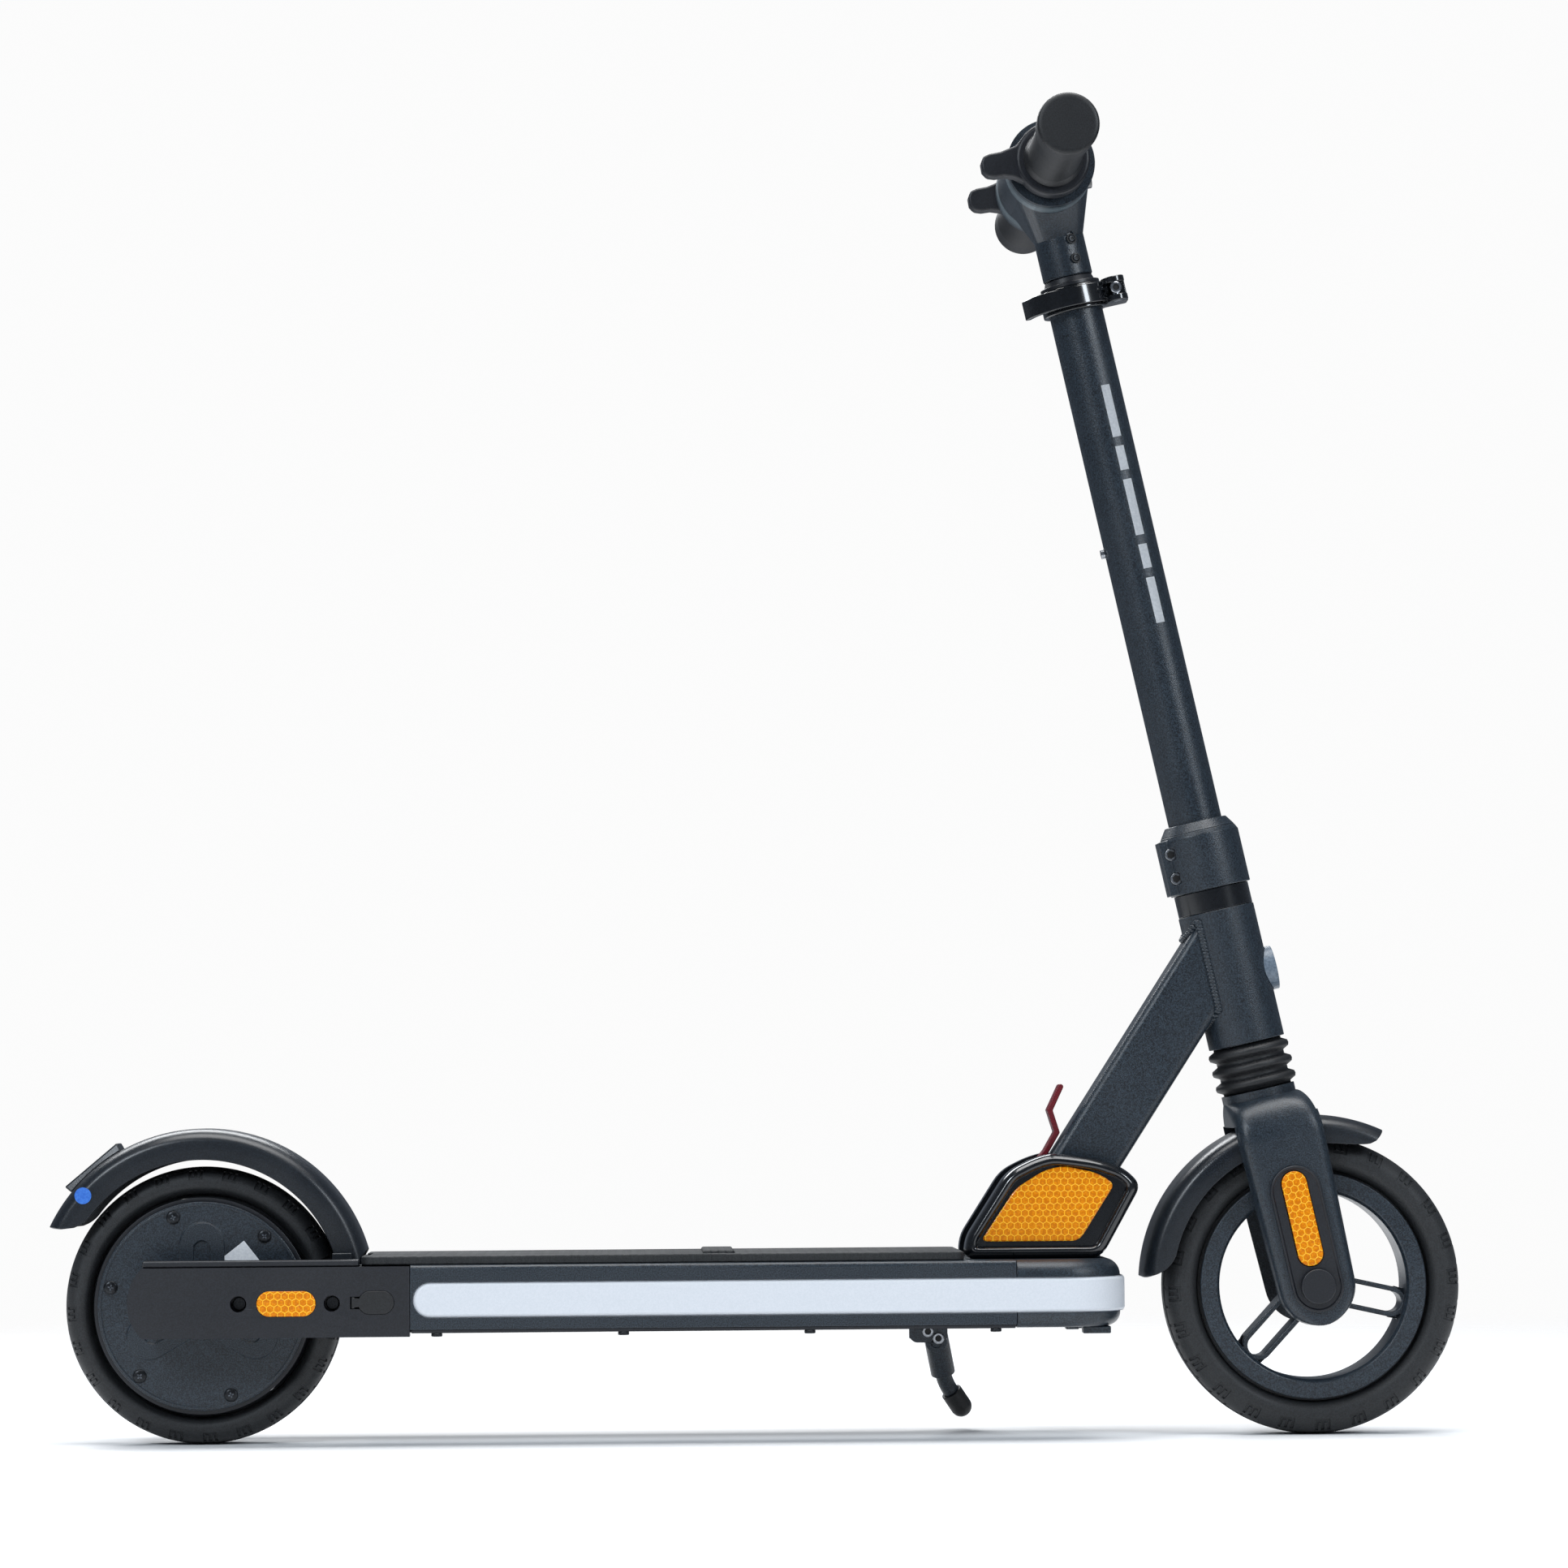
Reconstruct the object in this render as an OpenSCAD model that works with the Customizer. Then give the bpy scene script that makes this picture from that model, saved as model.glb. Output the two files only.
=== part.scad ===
// Folding electric kick scooter: deck with a hub-motor rear wheel, folding neck, sprung fork,
// height-adjustable handlebar. +X is forward, +Z is up, -Y is the rider's right.
// The origin is on the ground, half way along the scooter and midway across it.

/* [Overall] */
// Distance between the wheel axles
wheelbase = 803; // [670:1:965]
// Height of the handlebar axis over the ground
bar_height = 922; // [850:1:1108]
// Width over the outer ends of the grips
bar_width = 452; // [376:1:544]
// Lean of the steering axis back from vertical, degrees
rake = 12.5; // [11:0.5:14]
// How far the front axle stands ahead of the steering axis
axle_lead = 4.6; // [0:0.1:8]

/* [Front wheel] */
// Outer diameter of the front tyre
front_tyre_d = 216; // [205:1:260]
// Width of the front tyre
front_tyre_w = 52; // [44:1:56]
// Diameter over the flanges of the cast rim
rim_flange_d = 164; // [150:1:170]
// Diameter of the opening inside the rim
rim_open_d = 136; // [120:1:142]
// Diameter of the wheel hub
hub_d = 42; // [38:1:50]
// Width across one double-bar spoke
spoke_w = 22; // [16:1:26]
// Thickness of one bar of a spoke
spoke_bar = 3.5; // [2.5:0.5:6]

/* [Rear wheel] */
// Outer diameter of the rear tyre
rear_tyre_d = 200; // [190:1:240]
// Width of the rear tyre
rear_tyre_w = 52; // [44:1:56]
// Outer diameter of the motor shell under the tyre
motor_shell_d = 156; // [146:1:160]
// Diameter of the motor side covers
motor_cover_d = 150; // [142:1:152]
// Diameter of the circle of cover screws
cover_screw_circle_d = 134; // [126:1:140]
// Diameter of both wheel axles
axle_d = 12; // [10:0.5:14]

/* [Deck] */
// Width of the deck
deck_w = 150; // [125:1:180]
// Height of the deck's top face over the ground
deck_top = 129.5; // [124:0.5:140]
// Height of the deck's underside over the ground
deck_low = 81; // [72:0.5:84]
// Gap between the deck nose and the front tyre
nose_gap = 30; // [26:1:40]
// Length of the nose cap
nose_l = 81; // [70:1:95]
// Corner radius of the nose, seen from above
nose_r = 46; // [30:1:60]
// Wall thickness of the deck frame
deck_wall = 3.5; // [2.5:0.5:5]
// Thickness of the rubber mat
mat_t = 6; // [3:0.5:8]
// Height of the light strip
strip_h = 25; // [16:1:28]
// Depth of the groove that holds the light strip
strip_depth = 3.5; // [2:0.5:5]
// Gap between the deck's rear wall and the rear tyre
deck_tail_gap = 14; // [10:1:24]

/* [Rear end] */
// Thickness of a rear arm
arm_t = 8; // [6:0.5:10]
// Inner distance between the rear arms
arm_gap = 88; // [84:1:94]
// Length of a side cover
side_cover_l = 201; // [190:1:210]
// Height of a side cover
side_cover_h = 50; // [44:1:52]
// Wall thickness of plastic covers
cover_wall = 2.5; // [2:0.5:3.5]
// Gap between the rear mudguard's outer face and the tyre
rear_guard_rise = 22.5; // [20:0.5:28]
// Half width of both mudguards
guard_half_w = 36; // [33:1:37]
// Wall thickness of both mudguards
guard_wall = 2.5; // [2:0.5:4]

/* [Fold] */
// Fold pivot's distance behind the deck nose
pivot_back = 76; // [70:1:84]
// Fold pivot's height over the deck's top face
pivot_rise = 30.5; // [28:0.5:34]
// Diameter of the fold pivot pin
pivot_d = 12; // [8:0.5:14]
// Depth of the rectangular down tube
down_tube_h = 47; // [40:1:50]
// Width of the rectangular down tube
down_tube_w = 46; // [40:1:48]
// Wall thickness of the down tube
down_tube_wall = 3; // [2:0.5:4]
// Slope of the down tube from level, degrees
down_tube_slope = 57.2; // [55:0.1:60]

/* [Steering] */
// Outer diameter of the head tube
head_tube_d = 56; // [52:1:60]
// Length of the head tube
head_tube_l = 99; // [90:1:110]
// Outer diameter of the steerer tube
steerer_d = 34; // [32:0.5:36]
// Outer diameter of the lower stem tube
stem_d = 39.5; // [38:0.5:42]
// Wall thickness of the lower stem tube
stem_wall = 2; // [1.5:0.5:3]
// Length of the stem clamp
clamp_l = 43; // [38:1:48]
// Outer diameter of the stem clamp
clamp_d = 59; // [56:1:62]

/* [Fork] */
// Travel of the fork spring
fork_travel = 15; // [8:1:16]
// Width of a fork leg, seen from the side
leg_w = 57; // [50:1:60]
// Thickness of a fork leg
leg_t = 10; // [8:0.5:12]
// Inner distance between the fork legs
leg_gap = 77; // [75:1:84]
// Gap between the front mudguard's outer face and the tyre
front_guard_rise = 15.5; // [14:0.5:17]

/* [Handlebar] */
// Outer diameter of the sliding upper stem tube
post_d = 30; // [28:0.5:31]
// Travel of the handlebar's height adjustment
post_travel = 110; // [60:5:130]
// Diameter of the handlebar tube
bar_d = 28; // [25:0.5:30]
// Diameter of the head's barrel
barrel_d = 64; // [58:1:68]
// Length of the head's barrel
barrel_l = 128; // [110:2:140]
// Largest diameter of a grip
grip_d = 44; // [40:1:48]
// Width of a thumb ring
ring_w = 18; // [14:1:22]
// Outer diameter of a thumb ring
ring_d = 54; // [50:1:58]

/* [Kickstand] */
// Distance from the kickstand pivot to the deck nose
stand_back = 132; // [120:1:150]
// Gap between the kickstand foot and the ground while the deck is level
stand_lift = 7; // [4:0.5:12]

/* [Hidden] */
$fn = 64;
fit = 0.3;
run = 0.05;
guard_start = 16;
guard_end = 154.7;
guard_r = rear_tyre_d / 2 + rear_guard_rise;
half_l = (wheelbase + front_tyre_d / 2 - guard_r * cos(guard_end)) / 2;
front_x = half_l - front_tyre_d / 2;
rear_x = front_x - wheelbase;
front_r = front_tyre_d / 2;
rear_r = rear_tyre_d / 2;
nose_x = front_x - front_r - nose_gap;
seam_x = nose_x - nose_l;
tail_x = rear_x + rear_r + deck_tail_gap;
side_front_x = rear_x + side_cover_l - 50;
deck_mid = rear_r + 5;
strip_low = deck_mid - 0.5 - strip_h / 2;
narrow_w = deck_w - 2 * (cover_wall + 10.5);
pivot_x = nose_x - pivot_back;
pivot_z = deck_top + pivot_rise;
lead_x = front_x - axle_lead * cos(rake);
lead_z = front_r - axle_lead * sin(rake);
axis_x = lead_x + lead_z * tan(rake);
axle_s = lead_z / cos(rake);
bar_s = bar_height / cos(rake);
crown_s = axle_s + front_r + 38.4;
head_s = crown_s + fork_travel + 20;
band_s = head_s + head_tube_l;
band_l = 16;
clamp_s = band_s + band_l + 0.4;
cap_s = clamp_s + clamp_l;
cap_l = 7;
socket_l = 35;
socket_s = bar_s - 77;
bush_s = socket_s - 8;
qr_s = bush_s - 18;
stem_top_s = bush_s - 1.5;
stem_id = stem_d - 2 * stem_wall;
post_low_s = bush_s - 210 - post_travel;
ring_y = barrel_l / 2 + 2;
grip_y = ring_y + ring_w + 1.5;
guard_z = rear_r + 5;
down_x = cos(down_tube_slope);
down_z = sin(down_tube_slope);
join_x = axis_x - (band_s - 22) * sin(rake);
join_z = (band_s - 22) * cos(rake);
cheek_in = 25.8;
cheek_t = 5;
hinge_cover_out = 48;
charcoal = "#262d36";
smooth = "#20242a";
gloss = "#101216";
tyre_col = "#1c1c1d";
steel = "#b9bcc0";
alloy = "#8f9499";
amber = "#eb9b0a";
crimson = "#780a14";

module both_sides() {
    children();
    mirror([0, 1, 0]) children();
}

// Extrudes a side outline, drawn in X and Z, from y = a to y = b
module side_plate(a, b) {
    translate([0, b, 0]) rotate([90, 0, 0]) linear_extrude(b - a) children();
}

// Cylinder along Y
module cross_rod(d, a, b, x = 0, z = 0) {
    translate([x, b, z]) rotate([90, 0, 0]) cylinder(d = d, h = b - a);
}

// Places what is drawn up its own Z onto the steering axis
module on_axis(s = 0) {
    translate([axis_x, 0, 0]) rotate([0, -rake, 0]) translate([0, 0, s]) children();
}

// Turns a profile of (radius, width) round a wheel's axle
module wheel_turn(x, z, start = 0, sweep = 360) {
    translate([x, 0, z]) rotate([90, 0, 0]) rotate([0, 0, start]) rotate_extrude(angle = sweep, $fn = 128)
        children();
}

module oblong(l, w) {
    square([l - w, w], center = true);
    for (s = [-1, 1]) translate([s * (l - w) / 2, 0]) circle(d = w);
}

module round_rect(l, w, r) {
    square([l, w - 2 * r], center = true);
    square([l - 2 * r, w], center = true);
    for (i = [-1, 1], j = [-1, 1]) translate([i * (l / 2 - r), j * (w / 2 - r)]) circle(r);
}

// Deck outline from above, from x0 to the nose, drawn in by a margin
module deck_plan(x0, margin = 0) {
    w = deck_w - 2 * margin;
    r = nose_r - margin;
    x1 = nose_x - margin;
    translate([x0, -w / 2]) square([x1 - r - x0, w]);
    translate([x0, -w / 2 + r]) square([x1 - x0, w - 2 * r]);
    for (s = [-1, 1]) translate([x1 - r, s * (w / 2 - r)]) circle(r);
}

module ring(od, id, h) {
    difference() {
        cylinder(d = od, h = h);
        translate([0, 0, -1]) cylinder(d = id, h = h + 2);
    }
}

// Tyre section: a straight neck between the rim flanges, then a round carcass
function tyre_section(neck_r, carcass_r, out_r, neck_w, w) =
    let (mid = carcass_r + (out_r - carcass_r) * 0.42)
    concat(
        [[neck_r, -neck_w / 2]],
        [for (a = [-150:15:150])
            let (c = cos(a), k = sin(a))
            [mid + (a * a < 8100 ? out_r - mid : mid - carcass_r) * sign(c) * pow(abs(c), 0.8),
                w / 2 * sign(k) * pow(abs(k), 0.8)]],
        [[neck_r, neck_w / 2]]
    );

// Mudguard section: flat crown, sloping shoulders and straight skirts of even wall
function guard_side(r, depth, m) = [
    [r - depth, guard_half_w - m],
    [r - 9, guard_half_w - m],
    [r - 3 - 0.8 * m, guard_half_w - 5 - 0.8 * m],
    [r - m, guard_half_w - 14 - 0.4 * m]
];
function flip(list) = [for (i = [len(list) - 1:-1:0]) [list[i][0], -list[i][1]]];
function back(list) = [for (i = [len(list) - 1:-1:0]) list[i]];
function guard_section(r, depth) =
    let (outer = guard_side(r, depth, 0), inner = guard_side(r, depth, guard_wall))
    concat(outer, flip(outer), back(concat(inner, flip(inner))));

// ---- Deck ----

screw_y = deck_w / 2 - 3.5;
belly_t = 2.5;
bay_w = deck_w - 2 * (strip_depth + deck_wall);
tongue_w = 84;
tongue_low = deck_low + 14;
port_x = tail_x + 13;
port_z = deck_mid - 2;
cover_screw_x = [rear_x + 29, rear_x + 95.5];
cover_screw_z = rear_r + 2.7;
function belly_screw_x(i) = side_front_x + 19 + i * (seam_x - side_front_x - 34) / 3;

module strip_groove_side(clear = 0) {
    x0 = side_front_x + 2 - clear;
    r = strip_h / 2 + clear;
    translate([x0 + r, strip_low + strip_h / 2]) circle(r);
    translate([x0 + r, strip_low - clear]) square([nose_x - x0, 2 * r]);
}

module belly_plan() {
    translate([tail_x + 1, 1 - narrow_w / 2]) square([side_front_x - tail_x, narrow_w - 2]);
    translate([side_front_x + 1, 1 - deck_w / 2]) square([seam_x - side_front_x - 2, deck_w - 2]);
}

module deck_frame() {
    base = deck_low + belly_t;
    h = deck_top - base;
    color(charcoal) difference() {
        union() {
            translate([side_front_x, -deck_w / 2, base]) cube([seam_x - side_front_x, deck_w, h]);
            translate([tail_x, -narrow_w / 2, base]) cube([side_front_x - tail_x + 1, narrow_w, h]);
            translate([seam_x - 1, -tongue_w / 2, tongue_low])
                cube([nose_l - 14, tongue_w, deck_top - tongue_low]);
        }
        translate([side_front_x + deck_wall, -bay_w / 2, base - 1])
            cube([seam_x - side_front_x - 2 * deck_wall, bay_w, h - deck_wall + 1]);
        translate([tail_x + deck_wall, deck_wall - narrow_w / 2, base - 1])
            cube([side_front_x - tail_x + deck_wall, narrow_w - 2 * deck_wall, h - deck_wall + 1]);
        both_sides() side_plate(deck_w / 2 - strip_depth, deck_w / 2 + 1) strip_groove_side();
        both_sides() for (i = [0:3]) translate([belly_screw_x(i), screw_y, base - 1])
            cylinder(d = 4.2, h = 7);
        cross_rod(12.2, -narrow_w / 2 - 1, deck_wall + 1 - narrow_w / 2, port_x, port_z);
    }
}

module deck_mat() {
    color("#1a1c1f") translate([0, 0, deck_top + 0.1]) linear_extrude(mat_t) difference() {
        translate([(tail_x + pivot_x - 40) / 2, 0])
            round_rect(pivot_x - 40 - tail_x - 4, deck_w - 8, 8);
        translate([rear_x + rear_r + 12, 0]) square([16, 60], center = true);
    }
}

module nose_cap() {
    color(charcoal) difference() {
        translate([0, 0, deck_low]) linear_extrude(deck_top - deck_low) intersection() {
            deck_plan(seam_x - 40);
            translate([seam_x + fit, -deck_w]) square([nose_l + 10, 2 * deck_w]);
        }
        translate([0, 0, deck_low + cover_wall]) linear_extrude(deck_top - deck_low - 2 * cover_wall)
            deck_plan(seam_x - 40, strip_depth + cover_wall);
        translate([seam_x - 1, -tongue_w / 2 - fit, tongue_low - fit])
            cube([nose_l - 13.4, tongue_w + 2 * fit, deck_top]);
        difference() {
            translate([0, 0, strip_low]) linear_extrude(strip_h) deck_plan(seam_x - 40, -1);
            translate([0, 0, strip_low - 1]) linear_extrude(strip_h + 2) deck_plan(seam_x - 60, strip_depth);
        }
    }
}

module light_strip() {
    color("#cdd5e1") intersection() {
        difference() {
            translate([0, 0, strip_low + 0.1]) linear_extrude(strip_h - 0.2) deck_plan(side_front_x, 0);
            translate([0, 0, strip_low - 1]) linear_extrude(strip_h + 2)
                deck_plan(side_front_x - 10, strip_depth - 0.2);
        }
        side_plate(-deck_w, deck_w) strip_groove_side(-0.1);
    }
}

module belly_cover() {
    color(smooth) difference() {
        translate([0, 0, deck_low]) linear_extrude(belly_t) belly_plan();
        both_sides() for (i = [0:3]) translate([belly_screw_x(i), screw_y, deck_low - 1])
            cylinder(d = 4.4, h = 5);
    }
}

// Round-head screws of the belly cover, countersunk screws of the side covers, kickstand bolts
module deck_screws() {
    color(steel) both_sides() {
        for (i = [0:3]) translate([belly_screw_x(i), screw_y, deck_low - 2.5]) {
            cylinder(d = 8, h = 2.5);
            cylinder(d = 4, h = 8);
        }
        for (x = cover_screw_x) {
            cross_rod(9.5, 60, 63.2, x, cover_screw_z);
            cross_rod(5, arm_gap / 2 + 1, 61, x, cover_screw_z);
        }
    }
}

module battery_pack() {
    x0 = side_front_x + deck_wall + 2;
    x1 = seam_x - 52;
    z0 = deck_low + belly_t + 0.3;
    h = deck_top - deck_wall - 1.5 - z0;
    color("#2b4fa8") translate([(x0 + x1) / 2, 0, z0]) linear_extrude(h)
        round_rect(x1 - x0, bay_w - 8, 4);
}

module controller() {
    x1 = seam_x - deck_wall - 3;
    z1 = deck_top - deck_wall - 0.9;
    color(alloy) difference() {
        translate([x1 - 42, -45, z1 - 26]) cube([42, 90, 26]);
        for (i = [0:6]) translate([x1 - 37 + i * 5, -46, z1 - 27]) cube([2, 92, 5]);
    }
}

module charge_socket() {
    y = -narrow_w / 2;
    color("#15171a") difference() {
        union() {
            cross_rod(12, y - 1, y + 12, port_x, port_z);
            cross_rod(15.6, y - 3, y, port_x, port_z);
        }
        cross_rod(9, y - 4, y + 8, port_x, port_z);
    }
}

module charge_cap() {
    out = -deck_w / 2;
    color("#181a1d") difference() {
        union() {
            side_plate(out - 0.6, out + 2) translate([port_x, port_z]) oblong(25.4, 16.4);
            side_plate(out - 0.6, out + 1.4) translate([port_x - 16.5, port_z - 3]) square([8, 6]);
            translate([port_x - 16.5, out + 0.7, port_z - 4]) cylinder(d = 2.6, h = 8);
        }
    }
}

// ---- Rear end ----

module rear_arms() {
    a = arm_gap / 2;
    arm_low = deck_mid - 18;
    color(charcoal) both_sides() difference() {
        union() {
            side_plate(a, a + arm_t) {
                translate([rear_x, rear_r]) circle(17);
                translate([rear_x, arm_low]) square([tail_x - rear_x, 32]);
            }
            translate([tail_x - 6, a - 4, arm_low]) cube([6, arm_t + 12, 36]);
        }
        cross_rod(axle_d + 2 * run, a - 1, a + arm_t + 1, rear_x, rear_r);
        for (x = cover_screw_x) cross_rod(5.2, a - 1, a + arm_t + 1, x, cover_screw_z);
    }
}

module cover_side(margin = 0) {
    x0 = rear_x - 50;
    x1 = side_front_x - fit;
    z0 = deck_low - 2.4;
    h = side_cover_h;
    intersection() {
        translate([x0 + 35, z0 + h / 2]) circle(35 - margin);
        translate([x0, z0 + margin]) square([40, h - 2 * margin]);
    }
    translate([x0 + 36, z0 + margin]) square([x1 - x0 - 36 - margin, h - 2 * margin]);
}

module side_cover() {
    out = deck_w / 2;
    inner = arm_gap / 2 + arm_t + 1;
    difference() {
        union() {
            difference() {
                side_plate(inner, out) cover_side();
                side_plate(inner - 1, out - cover_wall) cover_side(cover_wall);
                translate([tail_x - 7, inner - 1, deck_low - 5])
                    cube([side_cover_l, narrow_w / 2 + fit - inner + 1, side_cover_h + 10]);
            }
            for (x = cover_screw_x) cross_rod(15, inner, out - 1, x, cover_screw_z);
        }
        for (x = cover_screw_x) {
            cross_rod(11.6, 60, out + 1, x, cover_screw_z);
            cross_rod(5.2, inner - 1, 61, x, cover_screw_z);
        }
        side_plate(out - 1.2, out + 1) translate([rear_x + 63, cover_screw_z]) oblong(42.7, 18.6);
    }
}

module side_cover_left() {
    color(smooth) side_cover();
}

module side_cover_right() {
    out = deck_w / 2;
    color(smooth) difference() {
        mirror([0, 1, 0]) side_cover();
        side_plate(-out - 1, -out + 5) translate([port_x, port_z]) {
            oblong(26, 17);
            translate([-18.5, -4.4]) square([10, 8.8]);
        }
    }
}

module rear_mudguard() {
    lug_x = rear_x + rear_r - 6;
    color(smooth) {
        wheel_turn(rear_x, guard_z, guard_start, guard_end - guard_start)
            polygon(guard_section(guard_r, rear_guard_rise));
        both_sides() side_plate(guard_half_w - guard_wall, arm_gap / 2 - 0.1)
            translate([lug_x, deck_mid - 4]) square([14, deck_top - deck_mid + 12]);
    }
}

module tail_lamp() {
    color("#8c1016") wheel_turn(rear_x, guard_z, 119, 22)
        polygon([[guard_r + 0.2, -18], [guard_r + 6.5, -15], [guard_r + 6.5, 15], [guard_r + 0.2, 18]]);
}

// ---- Fold ----

base_t = 4.5;
cheek_out = cheek_in + cheek_t;
cover_line = [
    [-39, -30.2], [-37.5, -15], [-8, 32], [9, 41], [22, 45], [35, 44],
    [57.5, 40.6], [76, 34], [87, 23], [88, 18], [59, -30.2]
];
amber_line = [
    [-22, -12], [-19, -17], [45, -17.5], [47, -17], [71, 21], [69, 25.5],
    [57, 30], [35, 35], [22, 34], [6, 25.5], [-1, 18.5]
];
lever_pivot = [12, 34];

module at_pivot() {
    translate([pivot_x, 0, pivot_z]) children();
}

module hinge_bracket() {
    color(charcoal) at_pivot() difference() {
        union() {
            translate([-34, -cheek_out - 8, -pivot_rise]) cube([92, 2 * cheek_out + 16, base_t]);
            both_sides() side_plate(cheek_in, cheek_out) {
                circle(18);
                translate([-18, -pivot_rise]) square([54, pivot_rise]);
            }
            side_plate(-cheek_out, cheek_out)
                polygon([[55, -27], [58, -27], [84, 17], [81, 17]]);
        }
        both_sides() cross_rod(pivot_d + 2 * run, cheek_in - 1, cheek_out + 1);
    }
}

module hinge_pin() {
    color(steel) at_pivot() {
        cross_rod(pivot_d, -cheek_out - 0.2, cheek_out + 0.2);
        both_sides() cross_rod(pivot_d + 7, cheek_out + 0.1, cheek_out + 4);
    }
}

module hinge_covers() {
    color(smooth) at_pivot() both_sides() difference() {
        side_plate(cheek_in, hinge_cover_out) polygon(cover_line);
        side_plate(cheek_in - 1, hinge_cover_out - 3) offset(delta = -2.5) polygon(cover_line);
        translate([-60, cheek_in - 1, -40])
            cube([150, cheek_out + 8.4 - cheek_in + 1, 40 - pivot_rise + base_t + fit]);
        side_plate(cheek_in - 1, cheek_out + 0.4) polygon([[54, -31], [60, -31], [90, 20], [80, 20]]);
        side_plate(hinge_cover_out - 1.2, hinge_cover_out + 1) offset(delta = 0.3) polygon(amber_line);
    }
}

// Amber reflectors of the hinge covers and of the side covers
module body_reflectors() {
    color(amber) both_sides() {
        at_pivot() side_plate(hinge_cover_out - 1, hinge_cover_out + 0.4) polygon(amber_line);
        side_plate(deck_w / 2 - 1, deck_w / 2 + 0.4) translate([rear_x + 63, cover_screw_z]) oblong(42, 18);
    }
}

module along_down_tube(t = 0) {
    translate([join_x + t * down_x, 0, join_z + t * down_z])
        rotate([0, 90 - down_tube_slope, 0]) children();
}

tube_low = ((pivot_x + 36.8 - join_x) * down_x + (pivot_z + 15 - join_z) * down_z);

module down_tube() {
    color(charcoal) difference() {
        union() {
            difference() {
                along_down_tube(tube_low) linear_extrude(-tube_low) difference() {
                    round_rect(down_tube_h, down_tube_w, 6);
                    round_rect(down_tube_h - 2 * down_tube_wall, down_tube_w - 2 * down_tube_wall, 4);
                }
                on_axis(head_s - 60) cylinder(d = head_tube_d + 0.1, h = 260);
            }
            at_pivot() side_plate(-23, 23) difference() {
                polygon([[-11, 11], [17, 27.7], [57, 2.3], [47, base_t - pivot_rise + fit],
                    [5, base_t - pivot_rise + fit]]);
            }
            at_pivot() cross_rod(32, -cheek_in + fit, cheek_in - fit);
            at_pivot() both_sides() side_plate(10.4, 14.4) {
                translate(lever_pivot) circle(6);
                polygon([[6, 34], [0, 12], [20, 22], [18, 34]]);
            }
        }
        at_pivot() cross_rod(pivot_d + 2 * run, -40, 40);
        at_pivot() cross_rod(4 + 2 * run, -20, 20, lever_pivot[0], lever_pivot[1]);
        at_pivot() side_plate(-10.3, 10.3) translate(lever_pivot) circle(8);
    }
}

module head_tube() {
    color(charcoal) on_axis(head_s) ring(head_tube_d, head_tube_d - 6, head_tube_l);
}

module headset_bearings() {
    color(steel) for (s = [head_s + 0.1, band_s - 9.1])
        on_axis(s) ring(head_tube_d - 6.1, steerer_d + 2 * run, 9);
}

module headset_band() {
    color(gloss) on_axis(band_s + 0.1) ring(head_tube_d - 1, steerer_d + 1, band_l);
}

module badge() {
    color("#b9bfc6") difference() {
        on_axis(head_s + head_tube_l / 2) rotate([0, 90, 0]) cylinder(d = 32, h = head_tube_d / 2 + 4.5);
        on_axis(head_s) cylinder(d = head_tube_d + 0.1, h = head_tube_l);
        on_axis(head_s) translate([-40, 0, -1]) cube([80, 80, 2]);
    }
}

module bent_strip(points, t) {
    for (i = [0:len(points) - 2]) hull() {
        translate(points[i]) circle(d = t, $fn = 24);
        translate(points[i + 1]) circle(d = t, $fn = 24);
    }
}

module fold_lever() {
    color(crimson) at_pivot() {
        side_plate(-9, 9) bent_strip([lever_pivot, [22, 46], [30, 60], [25, 76], [33, 93]], 4);
        cross_rod(9, -9, 9, lever_pivot[0], lever_pivot[1]);
        cross_rod(4, -14, 14, lever_pivot[0], lever_pivot[1]);
    }
}

// ---- Kickstand ----

stand_x = nose_x - stand_back;
stand_y = 58;
stand_z = deck_low - 12;
stand_tilt = 22;
hub_l = 10;
foot_r = 8;
sleeve_l = 32;
bend_r = 40;
lean_a = 11;
lean_b = 32;
leg_drop = (stand_z - stand_lift - foot_r) / cos(stand_tilt);
bend_drop = bend_r * (sin(lean_b) - sin(lean_a));
foot_l = (leg_drop - sleeve_l * cos(lean_a) - bend_drop) / cos(lean_b);

module at_stand() {
    translate([stand_x, stand_y, stand_z]) rotate([stand_tilt, 0, 0]) children();
}

// Runs down the leg from the hub: straight sleeve, then the bend, then straight again
module at_bend() {
    translate([0, hub_l / 2 + 1, 0]) rotate([0, -lean_a, 0]) translate([0, 0, -sleeve_l]) children();
}

module at_foot() {
    at_bend() translate([bend_r, 0, 0]) rotate([0, lean_a - lean_b, 0])
        translate([-bend_r, 0, 0]) children();
}

module kickstand_bracket() {
    color(charcoal) difference() {
        union() {
            side_plate(stand_y - 12, stand_y - 4) {
                translate([stand_x - 20, stand_z]) square([28, deck_low - stand_z]);
                translate([stand_x - 14, stand_z - 3]) square([16, 10]);
                for (x = [-14, 2]) translate([stand_x + x, stand_z + 3]) circle(6);
            }
            at_stand() cross_rod(16, -9, 0);
        }
        at_stand() cross_rod(8 + 2 * run, -12, 1);
    }
}

module kickstand_leg() {
    color(gloss) at_stand() {
        cross_rod(16, fit, hub_l + fit);
        cross_rod(8, -9, 1);
        difference() {
            at_bend() cylinder(d = 18, h = sleeve_l);
            cross_rod(15, -5, hub_l + 8);
            cross_rod(17, -12, fit);
        }
        at_bend() translate([bend_r, 0, 0]) rotate([90, 0, 0]) rotate([0, 0, 180])
            rotate_extrude(angle = lean_b - lean_a) translate([bend_r, 0]) circle(6);
        at_foot() translate([0, 0, 4 - foot_l]) cylinder(d = 12, h = foot_l - 4);
    }
}

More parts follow.
